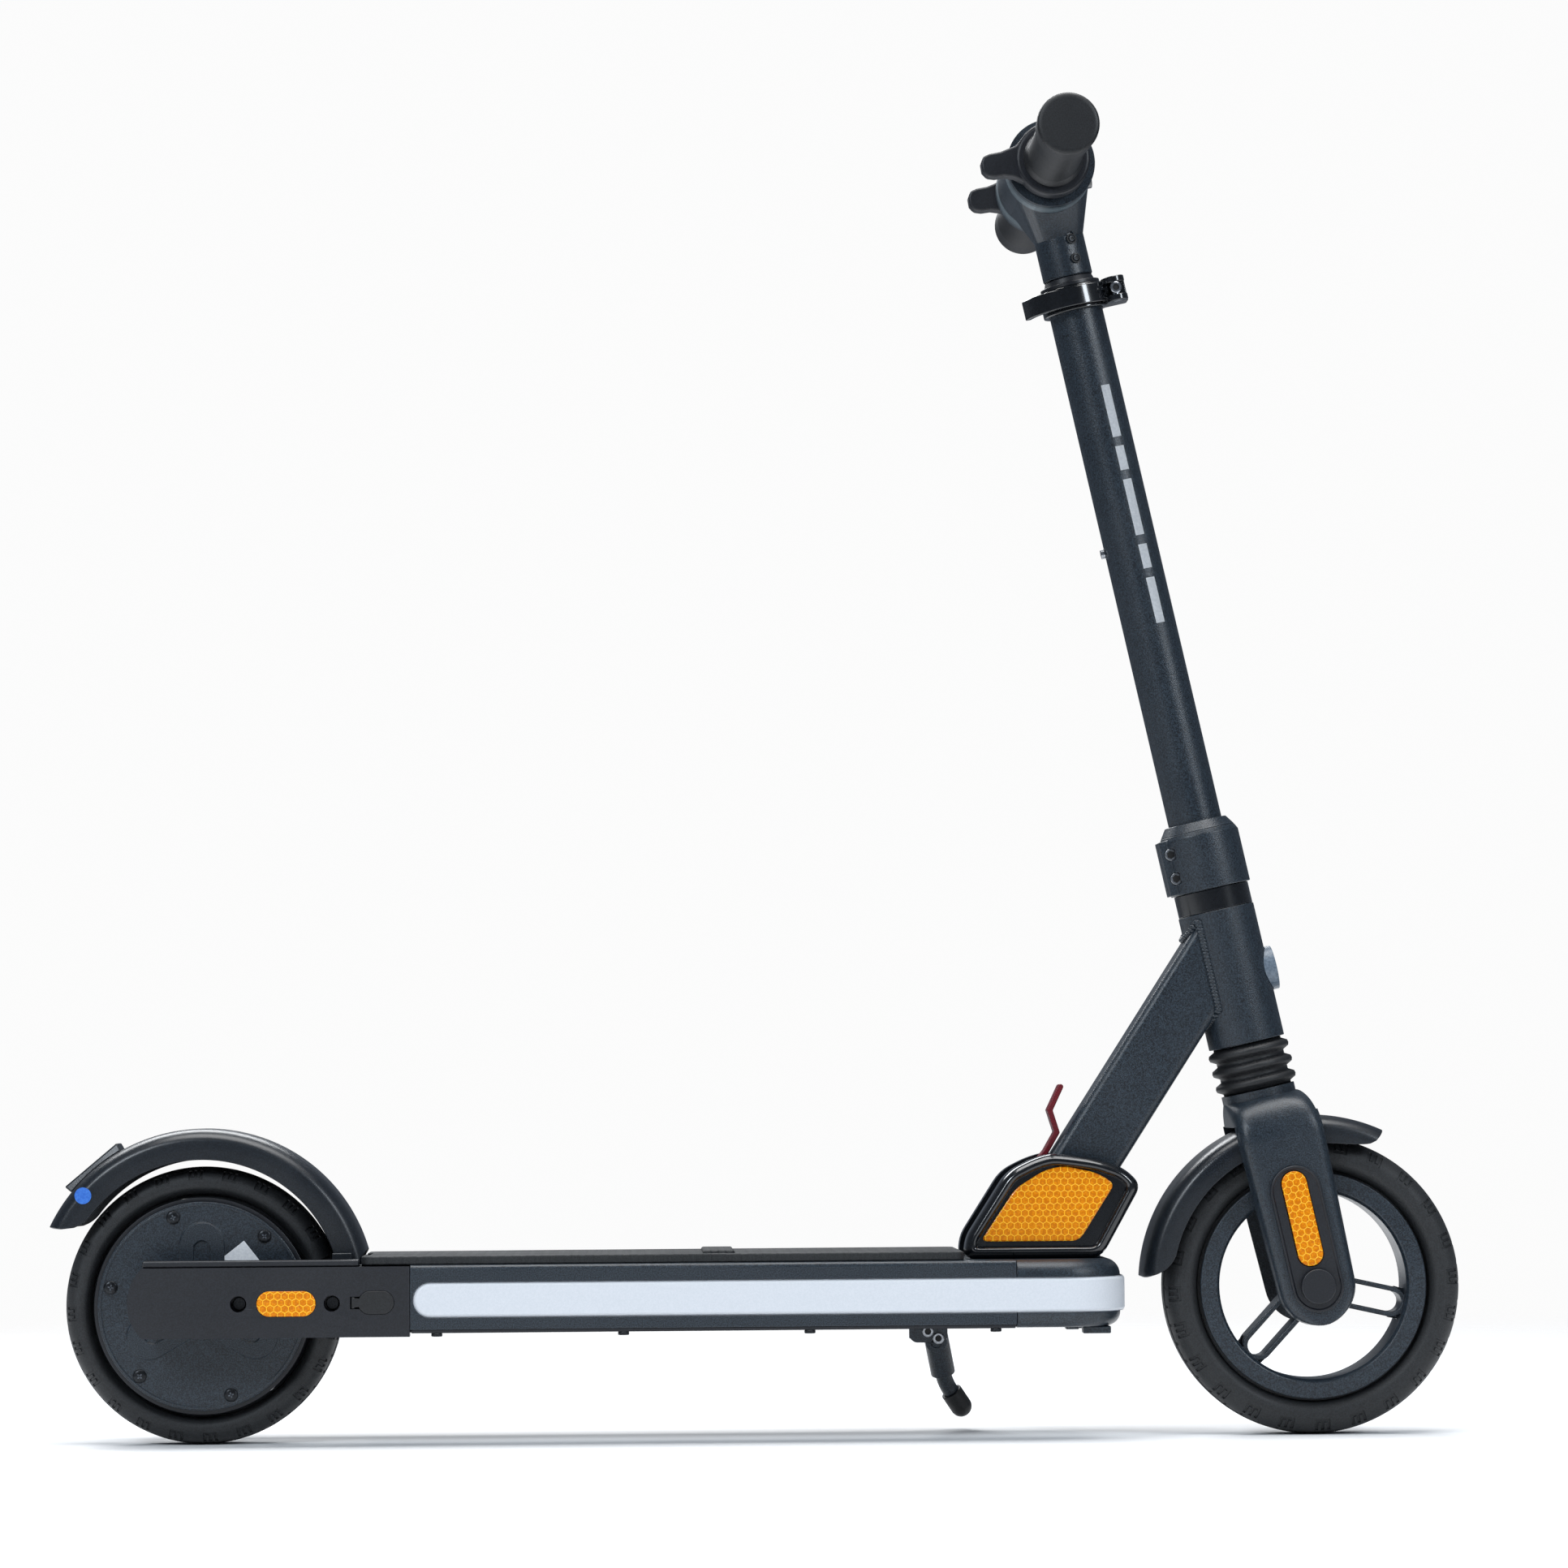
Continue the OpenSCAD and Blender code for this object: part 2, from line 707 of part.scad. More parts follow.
module kickstand_foot() {
    color("#17181a") at_stand() at_foot() difference() {
        union() {
            translate([0, 0, -foot_l]) sphere(foot_r);
            translate([0, 0, -foot_l]) cylinder(r = foot_r, h = 14);
        }
        translate([0, 0, 4 - foot_l]) cylinder(d = 12.1, h = 30);
    }
}

// ---- Wheels ----

module rear_axle() {
    a = arm_gap / 2;
    color(steel) {
        cross_rod(axle_d, -a - arm_t - 5, a + arm_t + 5, rear_x, rear_r);
        both_sides() cross_rod(axle_d + 8, a + arm_t + 0.1, a + arm_t + 5, rear_x, rear_r);
        both_sides() cross_rod(axle_d + 5, 33.4, a - 0.1, rear_x, rear_r);
    }
}

stator_d = motor_shell_d - 34;

module motor_stator() {
    color(alloy) translate([rear_x, 0, rear_r]) rotate([90, 0, 0]) difference() {
        cylinder(d = stator_d, h = 26, center = true);
        cylinder(d = axle_d + 0.1, h = 30, center = true);
        for (i = [0:17]) rotate([0, 0, i * 20]) translate([stator_d / 2 - 16, -3, -15]) cube([14, 6, 30]);
    }
}

module rear_tyre() {
    r = motor_shell_d / 2 + 0.1;
    color(tyre_col) wheel_turn(rear_x, rear_r)
        polygon(tyre_section(r, r + 1, rear_r, rear_tyre_w * 0.7, rear_tyre_w));
}

module motor_shell() {
    color(smooth) translate([rear_x, 0, rear_r]) rotate([90, 0, 0]) difference() {
        cylinder(d = motor_shell_d, h = 52, center = true);
        cylinder(d = stator_d + 2, h = 60, center = true);
        for (i = [0:5], s = [-1, 1]) rotate([0, 0, 48 + i * 60])
            translate([cover_screw_circle_d / 2, 0, s * 24]) cylinder(d = 4.2, h = 8, center = true);
    }
}

// Motor side covers with their raised arches, and the six screws that hold each of them
module motor_covers() {
    color(charcoal) translate([rear_x, 0, rear_r]) both_sides() rotate([90, 0, 0]) {
        difference() {
            union() {
                translate([0, 0, 26.1]) cylinder(d = motor_cover_d, h = 5);
                translate([0, 0, 20]) cylinder(d = 34, h = 13);
                for (i = [0:2]) rotate([0, 0, 90 + i * 120]) translate([30, 0, 31]) linear_extrude(1.5)
                    difference() {
                        oblong(60, 32);
                        oblong(34, 12);
                    }
            }
            translate([0, 0, 19]) cylinder(d = 28.1, h = 12.1);
            translate([0, 0, 19]) cylinder(d = axle_d + 7, h = 20);
            for (i = [0:5]) rotate([0, 0, 48 + i * 60]) translate([cover_screw_circle_d / 2, 0, 20])
                cylinder(d = 4.4, h = 14);
        }
        for (i = [0:5]) rotate([0, 0, 48 + i * 60]) translate([cover_screw_circle_d / 2, 0, 0]) {
            translate([0, 0, 31.2]) cylinder(d = 8, h = 1.6);
            translate([0, 0, 22]) cylinder(d = 4, h = 10);
        }
    }
}

module motor_bearings() {
    color(steel) translate([rear_x, 0, rear_r]) both_sides() rotate([90, 0, 0]) translate([0, 0, 22])
        ring(28, axle_d + 2 * run, 8);
}

hub_half = 30;

module front_rim() {
    spoke_r = rim_open_d / 2 + 2 - spoke_w / 2;
    color(charcoal) {
        wheel_turn(front_x, front_r) polygon([
            [rim_open_d / 2, -20], [rim_open_d / 2 + 2, -23], [rim_flange_d / 2, -23],
            [rim_flange_d / 2, -20], [rim_open_d / 2 + 4.5, -18], [rim_open_d / 2 + 4.5, 18],
            [rim_flange_d / 2, 20], [rim_flange_d / 2, 23], [rim_open_d / 2 + 2, 23],
            [rim_open_d / 2, 20]
        ]);
        translate([front_x, 0, front_r]) rotate([90, 0, 0]) difference() {
            union() {
                cylinder(d = hub_d, h = 2 * hub_half, center = true);
                for (i = [0:2]) rotate([0, 0, 107.5 + i * 120]) {
                    linear_extrude(28, center = true) for (s = [-1, 1])
                        translate([0, s * (spoke_w - spoke_bar) / 2 - spoke_bar / 2]) square([spoke_r, spoke_bar]);
                    linear_extrude(6, center = true) difference() {
                        translate([spoke_r, -spoke_w / 2])
                            square([rim_open_d / 2 + 2 - spoke_r, spoke_w]);
                        translate([spoke_r, 0]) circle(d = spoke_w - 2 * spoke_bar);
                    }
                    translate([spoke_r, 0, 0]) linear_extrude(28, center = true) intersection() {
                        difference() {
                            circle(d = spoke_w);
                            circle(d = spoke_w - 2 * spoke_bar);
                        }
                        translate([0, -spoke_w]) square(2 * spoke_w);
                    }
                }
            }
            cylinder(d = axle_d + 8, h = 80, center = true);
            for (s = [-1, 1]) translate([0, 0, s * (hub_half - 5)]) cylinder(d = 32.1, h = 10.2, center = true);
        }
    }
}

module front_tyre() {
    neck = rim_open_d / 2 + 4.8;
    color(tyre_col) wheel_turn(front_x, front_r)
        polygon(tyre_section(neck, rim_flange_d / 2 + 0.4, front_r, 35, front_tyre_w));
}

module front_bearings() {
    color(steel) translate([front_x, 0, front_r]) both_sides() rotate([90, 0, 0])
        translate([0, 0, hub_half - 10]) ring(32, axle_d + 2 * run, 10);
}

// ---- Steering ----

guide_s = post_low_s + post_travel + 14;
lug_x = 30;
trunnion_y = -16;
clamp_bolt_x = -stem_d / 2 - 4.75;

module steerer_tube() {
    color(alloy) {
        on_axis(head_s - 6) ring(steerer_d, steerer_d - 7, cap_s - head_s + 4);
        on_axis(head_s - 6) ring(steerer_d + 10, steerer_d - 7, 5.8);
        on_axis(clamp_s + 1) ring(stem_id - 0.2, steerer_d - 7, cap_s - clamp_s - 3);
        on_axis(head_s + 112) cylinder(d = steerer_d - 6, h = 4);
    }
}

module stem_clamp() {
    r = clamp_d / 2;
    block_x = max(r + 1.5, 5.5 - clamp_bolt_x);
    color(charcoal) on_axis(clamp_s) difference() {
        union() {
            cylinder(d = clamp_d, h = clamp_l - 4);
            translate([0, 0, clamp_l - 4]) cylinder(d1 = clamp_d, d2 = clamp_d - 4, h = 4);
            translate([-block_x, -15, 1]) cube([16, 30, clamp_l - 3]);
        }
        translate([0, 0, -1]) cylinder(d = stem_d + 0.2, h = clamp_l + 2);
        translate([-r - 3, -1, -1]) cube([r, 2, clamp_l + 2]);
        for (s = [12.5, 30.5]) {
            translate([0, 0, s]) cross_rod(5.2, -20, 20, clamp_bolt_x);
            translate([0, 0, s]) cross_rod(9, -20, -11, clamp_bolt_x);
        }
    }
}

// Clamp bolts, quick-release bolt with its trunnion, and the guide screw of the sliding post
module stem_screws() {
    color(steel) {
        for (s = [12.5, 30.5]) on_axis(clamp_s + s) {
            cross_rod(5, -12, 14, clamp_bolt_x);
            cross_rod(8.5, -15.5, -11.1, clamp_bolt_x);
        }
        on_axis(guide_s) rotate([0, -90, 0]) {
            translate([0, 0, stem_d / 2]) cylinder(d = 7, h = 3);
            translate([0, 0, 12.8]) cylinder(d = 5, h = stem_d / 2 - 11.8);
        }
        on_axis(qr_s + 9) {
            cross_rod(5, trunnion_y - 5, 12, lug_x);
            cross_rod(7.5, trunnion_y - 6.5, trunnion_y - 5, lug_x);
            cross_rod(10, 7.8, 12, lug_x);
            translate([lug_x, trunnion_y, -9]) cylinder(d = 6, h = 18);
        }
    }
}

module stem_cap() {
    color(charcoal) on_axis(cap_s) difference() {
        cylinder(d1 = clamp_d - 4, d2 = stem_d + 6, h = cap_l);
        translate([0, 0, -1]) cylinder(d = stem_d + 0.2, h = cap_l + 2);
    }
}

module stem_tube() {
    color(charcoal) difference() {
        on_axis(clamp_s + 1) ring(stem_d, stem_id, stem_top_s - clamp_s - 1);
        on_axis(guide_s) rotate([0, -90, 0]) cylinder(d = 5.2, h = 40);
    }
}

module qr_collar() {
    color(gloss) on_axis(qr_s) difference() {
        union() {
            cylinder(d = 48, h = 18);
            translate([18, -7.5, 0]) cube([lug_x - 9, 15, 18]);
        }
        translate([0, 0, -1]) cylinder(d = stem_d + 0.2, h = 20);
        translate([0, -1, -1]) cube([60, 2, 20]);
        translate([0, 0, 9]) cross_rod(5.4, -20, 20, lug_x);
    }
}

module qr_lever() {
    ear = 4.4;
    color(gloss) on_axis(qr_s) difference() {
        union() {
            translate([lug_x, trunnion_y, 0]) cylinder(d = 16.4, h = 18);
            translate([0, 0, 0.5]) linear_extrude(17)
                polygon([[lug_x, trunnion_y - 8.2], [lug_x, trunnion_y], [20.6, -15.6], [22.8, -19.6]]);
            translate([-4, 2, 2]) rotate([0, 0, -160]) rotate_extrude(angle = 125)
                translate([29, 0]) square([4.5, 14]);
            translate([-4, 2, 2]) rotate([0, 0, -160]) translate([29, -7, 0]) cube([4.5, 7.2, 14]);
        }
        translate([lug_x, trunnion_y, -1]) cylinder(d = 6 + 2 * run, h = 22);
        translate([lug_x, trunnion_y, ear]) cylinder(d = 17.6, h = 18 - 2 * ear);
    }
}

module stem_bush() {
    color("#26282b") {
        on_axis(bush_s + 0.2) difference() {
            union() {
                cylinder(d = 44, h = 3);
                cylinder(d1 = 40, d2 = 35, h = socket_s - bush_s - fit - 0.2);
            }
            translate([0, 0, -1]) cylinder(d = post_d + 2 * run, h = 20);
        }
        on_axis(stem_top_s - 60) ring(stem_id - 0.2, post_d + 2 * run, bush_s - stem_top_s + 60.4);
    }
}

// ---- Fork ----

crown_low_s = axle_s + front_r + front_guard_rise + fit;
leg_out = leg_gap / 2 + leg_t;

module on_leg() {
    translate([axis_x, 0, 0]) rotate([0, -rake, 0]) children();
}

module leg_outline() {
    r = leg_w / 2;
    translate([axle_lead, axle_s]) circle(r);
    polygon([
        [axle_lead - r, axle_s], [axle_lead + r, axle_s],
        [axle_lead + r + 3, crown_low_s + 2], [axle_lead - r - 3, crown_low_s + 2]
    ]);
}

module fork() {
    inner = steerer_d - 7 - 2 * run;
    color(charcoal) difference() {
        union() {
            on_leg() both_sides() side_plate(leg_gap / 2, leg_out) leg_outline();
            on_axis() hull() {
                translate([axle_lead, 0, crown_low_s]) linear_extrude(5)
                    round_rect(leg_w + 6, 2 * leg_out, 14, $fn = 32);
                translate([0, 0, crown_s - 9]) cylinder(d = 53, h = 1, $fn = 48);
            }
            on_axis(crown_s - 9) cylinder(d = 54, h = 9);
            on_axis(crown_s - 1) ring(inner, inner - 6, head_s + 60 - crown_s);
        }
        on_leg() cross_rod(axle_d + 2 * run, -leg_out - 1, leg_out + 1, axle_lead, axle_s);
    }
}

module panel_outline(margin = 0) {
    w = 37 - 2 * margin;
    translate([axle_lead, axle_s]) circle(d = w);
    translate([axle_lead - w / 2, axle_s]) square([w, 70]);
    translate([axle_lead, axle_s + 70]) circle(d = w);
}

module fork_covers() {
    color(smooth) on_leg() both_sides() {
        difference() {
            side_plate(leg_out + 0.1, leg_out + 3) panel_outline();
            side_plate(leg_out + 2, leg_out + 4) panel_outline(2);
            cross_rod(axle_d + 10, leg_out - 1, leg_out + 9, axle_lead, axle_s);
            side_plate(leg_out + 0.8, leg_out + 4) translate([axle_lead, axle_s + 50])
                rotate(90) oblong(70, 18.8);
        }
        difference() {
            cross_rod(axle_d + 13, leg_out + 2.1, leg_out + 7, axle_lead, axle_s);
            cross_rod(axle_d + 9, leg_out, leg_out + 5.3, axle_lead, axle_s);
        }
    }
}

module fork_reflectors() {
    color(amber) on_leg() both_sides() side_plate(leg_out + 0.9, leg_out + 3.2)
        translate([axle_lead, axle_s + 50]) rotate(90) oblong(69.4, 18.2);
}

module front_axle() {
    a = leg_gap / 2;
    color(steel) {
        cross_rod(axle_d, -leg_out - 5, leg_out + 5, front_x, front_r);
        both_sides() cross_rod(axle_d + 8, leg_out + 0.1, leg_out + 5, front_x, front_r);
        both_sides() cross_rod(axle_d + 7, hub_half + 0.4, a - 0.1, front_x, front_r);
    }
}

module front_mudguard() {
    color(smooth) wheel_turn(front_x, front_r, 65, 112)
        polygon(guard_section(front_r + front_guard_rise, 20.5));
}

bellows_h = head_s - crown_s;

module bellows() {
    n = 3;
    step = (bellows_h - 0.6) / n;
    outer = [for (i = [0:n - 1], p = [[25, 0.12], [29.2, 0.32], [29.8, 0.5], [29.2, 0.68], [25, 0.88]])
        [p[0], (i + p[1]) * step]];
    inner = [for (i = [len(outer) - 1:-1:0]) [outer[i][0] - 1.8, outer[i][1]]];
    section = concat([[25, 0]], outer, [[25, n * step], [23.2, n * step]], inner, [[23.2, 0]]);
    color("#191b1e") on_axis(crown_s + 0.3) rotate_extrude() polygon(section);
}

module fork_spring() {
    h = 52.4;
    color(steel) on_axis(head_s + 59.3) linear_extrude(h, twist = -360 * 7, slices = 112, $fn = 10)
        translate([9.5, 0]) scale([0.8, 1.6]) circle(1.8, $fn = 10);
}

// ---- Handlebar ----

face_z = barrel_d / 2 - 3;
lamp_d = 30;

module on_bar() {
    on_axis(bar_s) children();
}

module at_face() {
    on_bar() rotate([0, -35, 0]) children();
}

module post_tube() {
    color(alloy) difference() {
        union() {
            on_axis(post_low_s) ring(post_d, post_d - 5, socket_s + 31 - post_low_s);
            on_axis(post_low_s) ring(stem_id - 0.3, post_d - 5, 8);
        }
        on_axis(guide_s) translate([-post_d, -3, -post_travel - 3.5])
            cube([post_d - 5, 6, post_travel + 7]);
    }
}

module bar_head() {
    r = barrel_d / 2;
    color(charcoal) difference() {
        union() {
            on_bar() cross_rod(barrel_d, -barrel_l / 2, barrel_l / 2);
            on_axis(socket_s) cylinder(d = post_d + 6, h = socket_l);
            hull() {
                on_axis(socket_s + socket_l - 7) cylinder(d = post_d + 5, h = 1, $fn = 32);
                on_bar() translate([0, 36, 0]) rotate([90, 0, 0]) cylinder(r = r - 1.5, h = 72, $fn = 32);
            }
        }
        on_axis(socket_s - 1) cylinder(d = post_d + 2 * run, h = 33);
        on_bar() cross_rod(bar_d + 2 * run, -barrel_l, barrel_l);
        on_bar() both_sides() translate([0, barrel_l / 2 + 1, 0]) rotate([90, 0, 0])
            ring(barrel_d - 14, bar_d + 6, barrel_l / 2 - 37);
        at_face() translate([-15, -50, face_z]) cube([30, 100, 10]);
        at_face() translate([0, -42, face_z - 5]) cylinder(d = 12.6, h = 10);
        on_bar() rotate([0, 90, 0]) translate([0, 0, r - 8.3]) cylinder(d = lamp_d + 0.6, h = 12);
        for (s = [14.4, 28.4]) on_axis(socket_s + s) rotate([0, 90, -68])
            translate([0, 0, post_d / 2 - 1]) cylinder(d = 5.4, h = 8);
    }
}

module handlebar() {
    color(alloy) on_bar() difference() {
        cross_rod(bar_d, 5 - bar_width / 2, bar_width / 2 - 5);
        cross_rod(bar_d - 4, -bar_width, bar_width);
    }
}

module grips() {
    r = grip_d / 2;
    y0 = grip_y;
    y1 = bar_width / 2;
    section = [
        [bar_d / 2 + 0.1, y0], [r - 1, y0], [r - 0.6, y0 + 4], [r - 5, y0 + 9],
        [r - 5.4, y1 - 34], [r - 4.4, y1 - 18], [r - 1, y1 - 9], [r, y1 - 4.5],
        [r - 1, y1 - 1.4], [r - 4, y1], [0, y1], [0, y1 - 4.8], [bar_d / 2 + 0.1, y1 - 4.8]
    ];
    color("#1d1f22") on_bar() both_sides() rotate([-90, 0, 0]) rotate_extrude() polygon(section);
}

// Display window on top of the head and lens of the headlamp in its front
module head_lenses() {
    color("#0c0e12") at_face() translate([-14.6, -33, face_z + 0.1]) cube([29.2, 82, 2.2]);
    color("#e8ecf0") on_bar() rotate([0, 90, 0]) translate([0, 0, barrel_d / 2 - 8])
        cylinder(d = lamp_d, h = 8.6);
}

module power_button() {
    color("#a9adb3") at_face() translate([0, -42, face_z - 3]) cylinder(d = 12, h = 5);
}

paddle_line = [[-18, 20], [-30, 13], [-46, 5], [-51, 1], [-52, -5], [-48, -10], [-40, -13], [-8, -25.5]];

module paddle(a, b) {
    color(smooth) on_bar() difference() {
        side_plate(a, b) {
            circle(d = ring_d);
            polygon(paddle_line);
        }
        cross_rod(bar_d + 0.4, a - 1, b + 1);
    }
}

module throttle_paddle() {
    paddle(-ring_y - ring_w, -ring_y);
}

module brake_paddle() {
    paddle(ring_y, ring_y + ring_w);
}

deck_frame();
deck_mat();
nose_cap();
light_strip();
belly_cover();
deck_screws();
battery_pack();
controller();
charge_socket();
charge_cap();
rear_arms();
side_cover_left();
side_cover_right();
rear_mudguard();
tail_lamp();
hinge_bracket();
hinge_pin();
hinge_covers();
body_reflectors();
kickstand_bracket();
kickstand_leg();
kickstand_foot();
rear_axle();
motor_stator();
rear_tyre();
motor_shell();
motor_covers();
motor_bearings();
down_tube();
head_tube();
headset_bearings();
headset_band();
badge();
fold_lever();
steerer_tube();
stem_clamp();
stem_screws();
stem_cap();
stem_tube();
qr_collar();
qr_lever();
stem_bush();
fork();
fork_covers();
fork_reflectors();
front_axle();
front_mudguard();
bellows();
fork_spring();
front_tyre();
front_rim();
front_bearings();
post_tube();
bar_head();
handlebar();
grips();
head_lenses();
power_button();
throttle_paddle();
brake_paddle();
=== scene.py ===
from math import acos, cos, hypot, pi, radians, sin

import bmesh
import bpy
from mathutils import Matrix, Vector


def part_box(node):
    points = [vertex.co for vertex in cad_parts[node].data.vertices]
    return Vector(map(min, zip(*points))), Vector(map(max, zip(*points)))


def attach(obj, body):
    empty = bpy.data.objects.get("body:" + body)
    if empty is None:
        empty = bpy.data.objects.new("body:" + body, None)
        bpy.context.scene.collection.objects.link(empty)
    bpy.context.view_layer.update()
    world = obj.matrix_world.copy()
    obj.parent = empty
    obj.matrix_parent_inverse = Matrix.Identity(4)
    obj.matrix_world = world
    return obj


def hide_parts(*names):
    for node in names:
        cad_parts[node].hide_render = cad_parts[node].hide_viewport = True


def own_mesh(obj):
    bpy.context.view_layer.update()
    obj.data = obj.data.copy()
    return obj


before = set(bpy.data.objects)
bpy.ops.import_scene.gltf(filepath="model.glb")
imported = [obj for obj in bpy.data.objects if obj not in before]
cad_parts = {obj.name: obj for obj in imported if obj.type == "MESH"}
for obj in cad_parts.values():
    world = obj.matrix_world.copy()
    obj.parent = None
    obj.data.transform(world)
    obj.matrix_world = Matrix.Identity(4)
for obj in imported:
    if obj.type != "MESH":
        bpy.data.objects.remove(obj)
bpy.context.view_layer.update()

# Camera. A long lens about four metres from the near side, low down, so that the
# scooter is seen almost square on with its deck edge on and its bars from below.
eye = Vector((-0.0889, -3.982, 0.2431))
turned_right = radians(1.60)
tipped_up = radians(3.34)
rolled = radians(-0.44)
camera = bpy.data.objects.new("camera", bpy.data.cameras.new("camera"))
camera.data.sensor_width = 36
camera.data.lens = 125.3
camera.data.clip_end = 60
camera.matrix_world = (
    Matrix.Translation(eye)
    @ Matrix.Rotation(-turned_right, 4, "Z")
    @ Matrix.Rotation(pi / 2 + tipped_up, 4, "X")
    @ Matrix.Rotation(rolled, 4, "Z")
)
bpy.context.scene.collection.objects.link(camera)
bpy.context.scene.camera = camera

# Studio. A pale matt floor that fades into a white room, a broad soft ceiling and
# softboxes at both front corners, with a narrow one behind for the edges.
scene = bpy.context.scene
scene.view_settings.view_transform = "Standard"
room = bpy.data.worlds.new("room")
room.use_nodes = True
scene.world = room
walls = room.node_tree
walls.nodes["Background"].inputs["Color"].default_value = (0.11, 0.125, 0.15, 1)
seen_wall = walls.nodes.new("ShaderNodeBackground")
seen_wall.inputs["Color"].default_value = (0.97, 0.97, 0.97, 1)
wall_mix = walls.nodes.new("ShaderNodeMixShader")
wall_path = walls.nodes.new("ShaderNodeLightPath")
walls.links.new(wall_path.outputs["Is Camera Ray"], wall_mix.inputs["Fac"])
walls.links.new(walls.nodes["Background"].outputs[0], wall_mix.inputs[1])
walls.links.new(seen_wall.outputs[0], wall_mix.inputs[2])
walls.links.new(wall_mix.outputs[0], walls.nodes["World Output"].inputs["Surface"])

floor_shape = bmesh.new()
bmesh.ops.create_circle(floor_shape, cap_ends=True, segments=96, radius=6.0)
floor_mesh = bpy.data.meshes.new("studio_floor")
floor_shape.to_mesh(floor_mesh)
floor_shape.free()
studio_floor = bpy.data.objects.new("studio_floor", floor_mesh)
scene.collection.objects.link(studio_floor)
pale = bpy.data.materials.new("pale_floor")
pale.use_nodes = True
floor_tree = pale.node_tree
floor_shader = floor_tree.nodes["Principled BSDF"]
floor_shader.inputs["Base Color"].default_value = (0.93, 0.935, 0.94, 1)
floor_shader.inputs["Roughness"].default_value = 0.75
floor_place = floor_tree.nodes.new("ShaderNodeTexCoord")
floor_reach = floor_tree.nodes.new("ShaderNodeVectorMath")
floor_reach.operation = "LENGTH"
floor_fade = floor_tree.nodes.new("ShaderNodeMapRange")
floor_fade.interpolation_type = "SMOOTHERSTEP"
floor_fade.inputs["From Min"].default_value = 0.75
floor_fade.inputs["From Max"].default_value = 2.6
floor_fade.inputs["To Min"].default_value = 1.0
floor_fade.inputs["To Max"].default_value = 0.0
floor_tree.links.new(floor_place.outputs["Object"], floor_reach.inputs[0])
floor_tree.links.new(floor_reach.outputs["Value"], floor_fade.inputs["Value"])
floor_tree.links.new(floor_fade.outputs["Result"], floor_shader.inputs["Alpha"])
floor_mesh.materials.append(pale)


def softbox(name, place, aim, width, height, watts, colour=(1, 1, 1)):
    """A rectangular soft light that faces a point on the scooter."""
    light = bpy.data.lights.new(name, "AREA")
    light.shape = "RECTANGLE"
    light.size = width
    light.size_y = height
    light.energy = watts
    light.color = colour
    stand = bpy.data.objects.new(name, light)
    stand.location = place
    stand.rotation_euler = (Vector(aim) - Vector(place)).to_track_quat("-Z", "Y").to_euler()
    scene.collection.objects.link(stand)


softbox("ceiling", (0, -0.2, 3.0), (0, 0, 0), 2.6, 2.0, 100)
softbox("front_left", (-2.0, -2.7, 2.2), (0, 0, 0.4), 0.8, 0.8, 56, (0.86, 0.93, 1))
softbox("front_right", (2.3, -2.2, 1.9), (0.2, 0, 0.4), 0.6, 1.1, 40, (0.86, 0.93, 1))
softbox("behind", (-0.8, 2.6, 2.3), (0, 0, 0.5), 2.6, 0.8, 60, (0.96, 0.98, 1))

# Deck frame. An aluminium channel with rounded long edges, powder coated in a dark
# blue grey with a fine sandy grain.
SAME_POINT = 1e-6  # metres within which two corners are one


def shade(red, green, blue):
    """A paint maker's 0 to 255 colour as light."""
    parts = (red / 255, green / 255, blue / 255)
    return tuple(p / 12.92 if p <= 0.04045 else ((p + 0.055) / 1.055) ** 2.4 for p in parts) + (1,)


def noise(tree, place, scale, detail=2.0, rough=0.5):
    """A field of soft spots on the piece, so many to the metre."""
    field = tree.nodes.new("ShaderNodeTexNoise")
    field.inputs["Scale"].default_value = scale
    field.inputs["Detail"].default_value = detail
    field.inputs["Roughness"].default_value = rough
    tree.links.new(place, field.inputs["Vector"])
    return field.outputs["Fac"]


def ramp(tree, value, low, high, dark, light):
    """One colour below a level, another above it, and a blend between."""
    blend = tree.nodes.new("ShaderNodeValToRGB")
    blend.color_ramp.elements[0].position = low
    blend.color_ramp.elements[0].color = dark
    blend.color_ramp.elements[1].position = high
    blend.color_ramp.elements[1].color = light
    tree.links.new(value, blend.inputs["Fac"])
    return blend.outputs["Color"]


def spread(tree, value, low, high, start=0.3, end=0.7):
    """A field brought to a range of numbers."""
    reach = tree.nodes.new("ShaderNodeMapRange")
    reach.inputs["From Min"].default_value = start
    reach.inputs["From Max"].default_value = end
    reach.inputs["To Min"].default_value = low
    reach.inputs["To Max"].default_value = high
    tree.links.new(value, reach.inputs["Value"])
    return reach.outputs["Result"]


def raised(tree, height, depth, strength=1.0, under=None):
    """A relief of that depth in metres, on top of another one if given."""
    bump = tree.nodes.new("ShaderNodeBump")
    bump.inputs["Distance"].default_value = depth
    bump.inputs["Strength"].default_value = strength
    tree.links.new(height, bump.inputs["Height"])
    if under is not None:
        tree.links.new(under, bump.inputs["Normal"])
    return bump.outputs["Normal"]


def surface(name, colour, fleck, rough, grain, depth, strength=0.5, swing=0.07, **sockets):
    """A finish with a flecked colour, patchy gloss and a raised grain of so many to the metre."""
    finish = bpy.data.materials.new(name)
    finish.use_nodes = True
    tree = finish.node_tree
    shader = tree.nodes["Principled BSDF"]
    place = tree.nodes.new("ShaderNodeTexCoord").outputs["Object"]
    spots = noise(tree, place, grain)
    cloud = noise(tree, place, 14.0, 3.0)
    tree.links.new(ramp(tree, spots, 0.36, 0.66, colour, fleck), shader.inputs["Base Color"])
    tree.links.new(spread(tree, cloud, rough - swing, rough + swing), shader.inputs["Roughness"])
    tree.links.new(raised(tree, spots, depth, strength), shader.inputs["Normal"])
    for socket, value in sockets.items():
        shader.inputs[socket.replace("_", " ")].default_value = value
    return finish


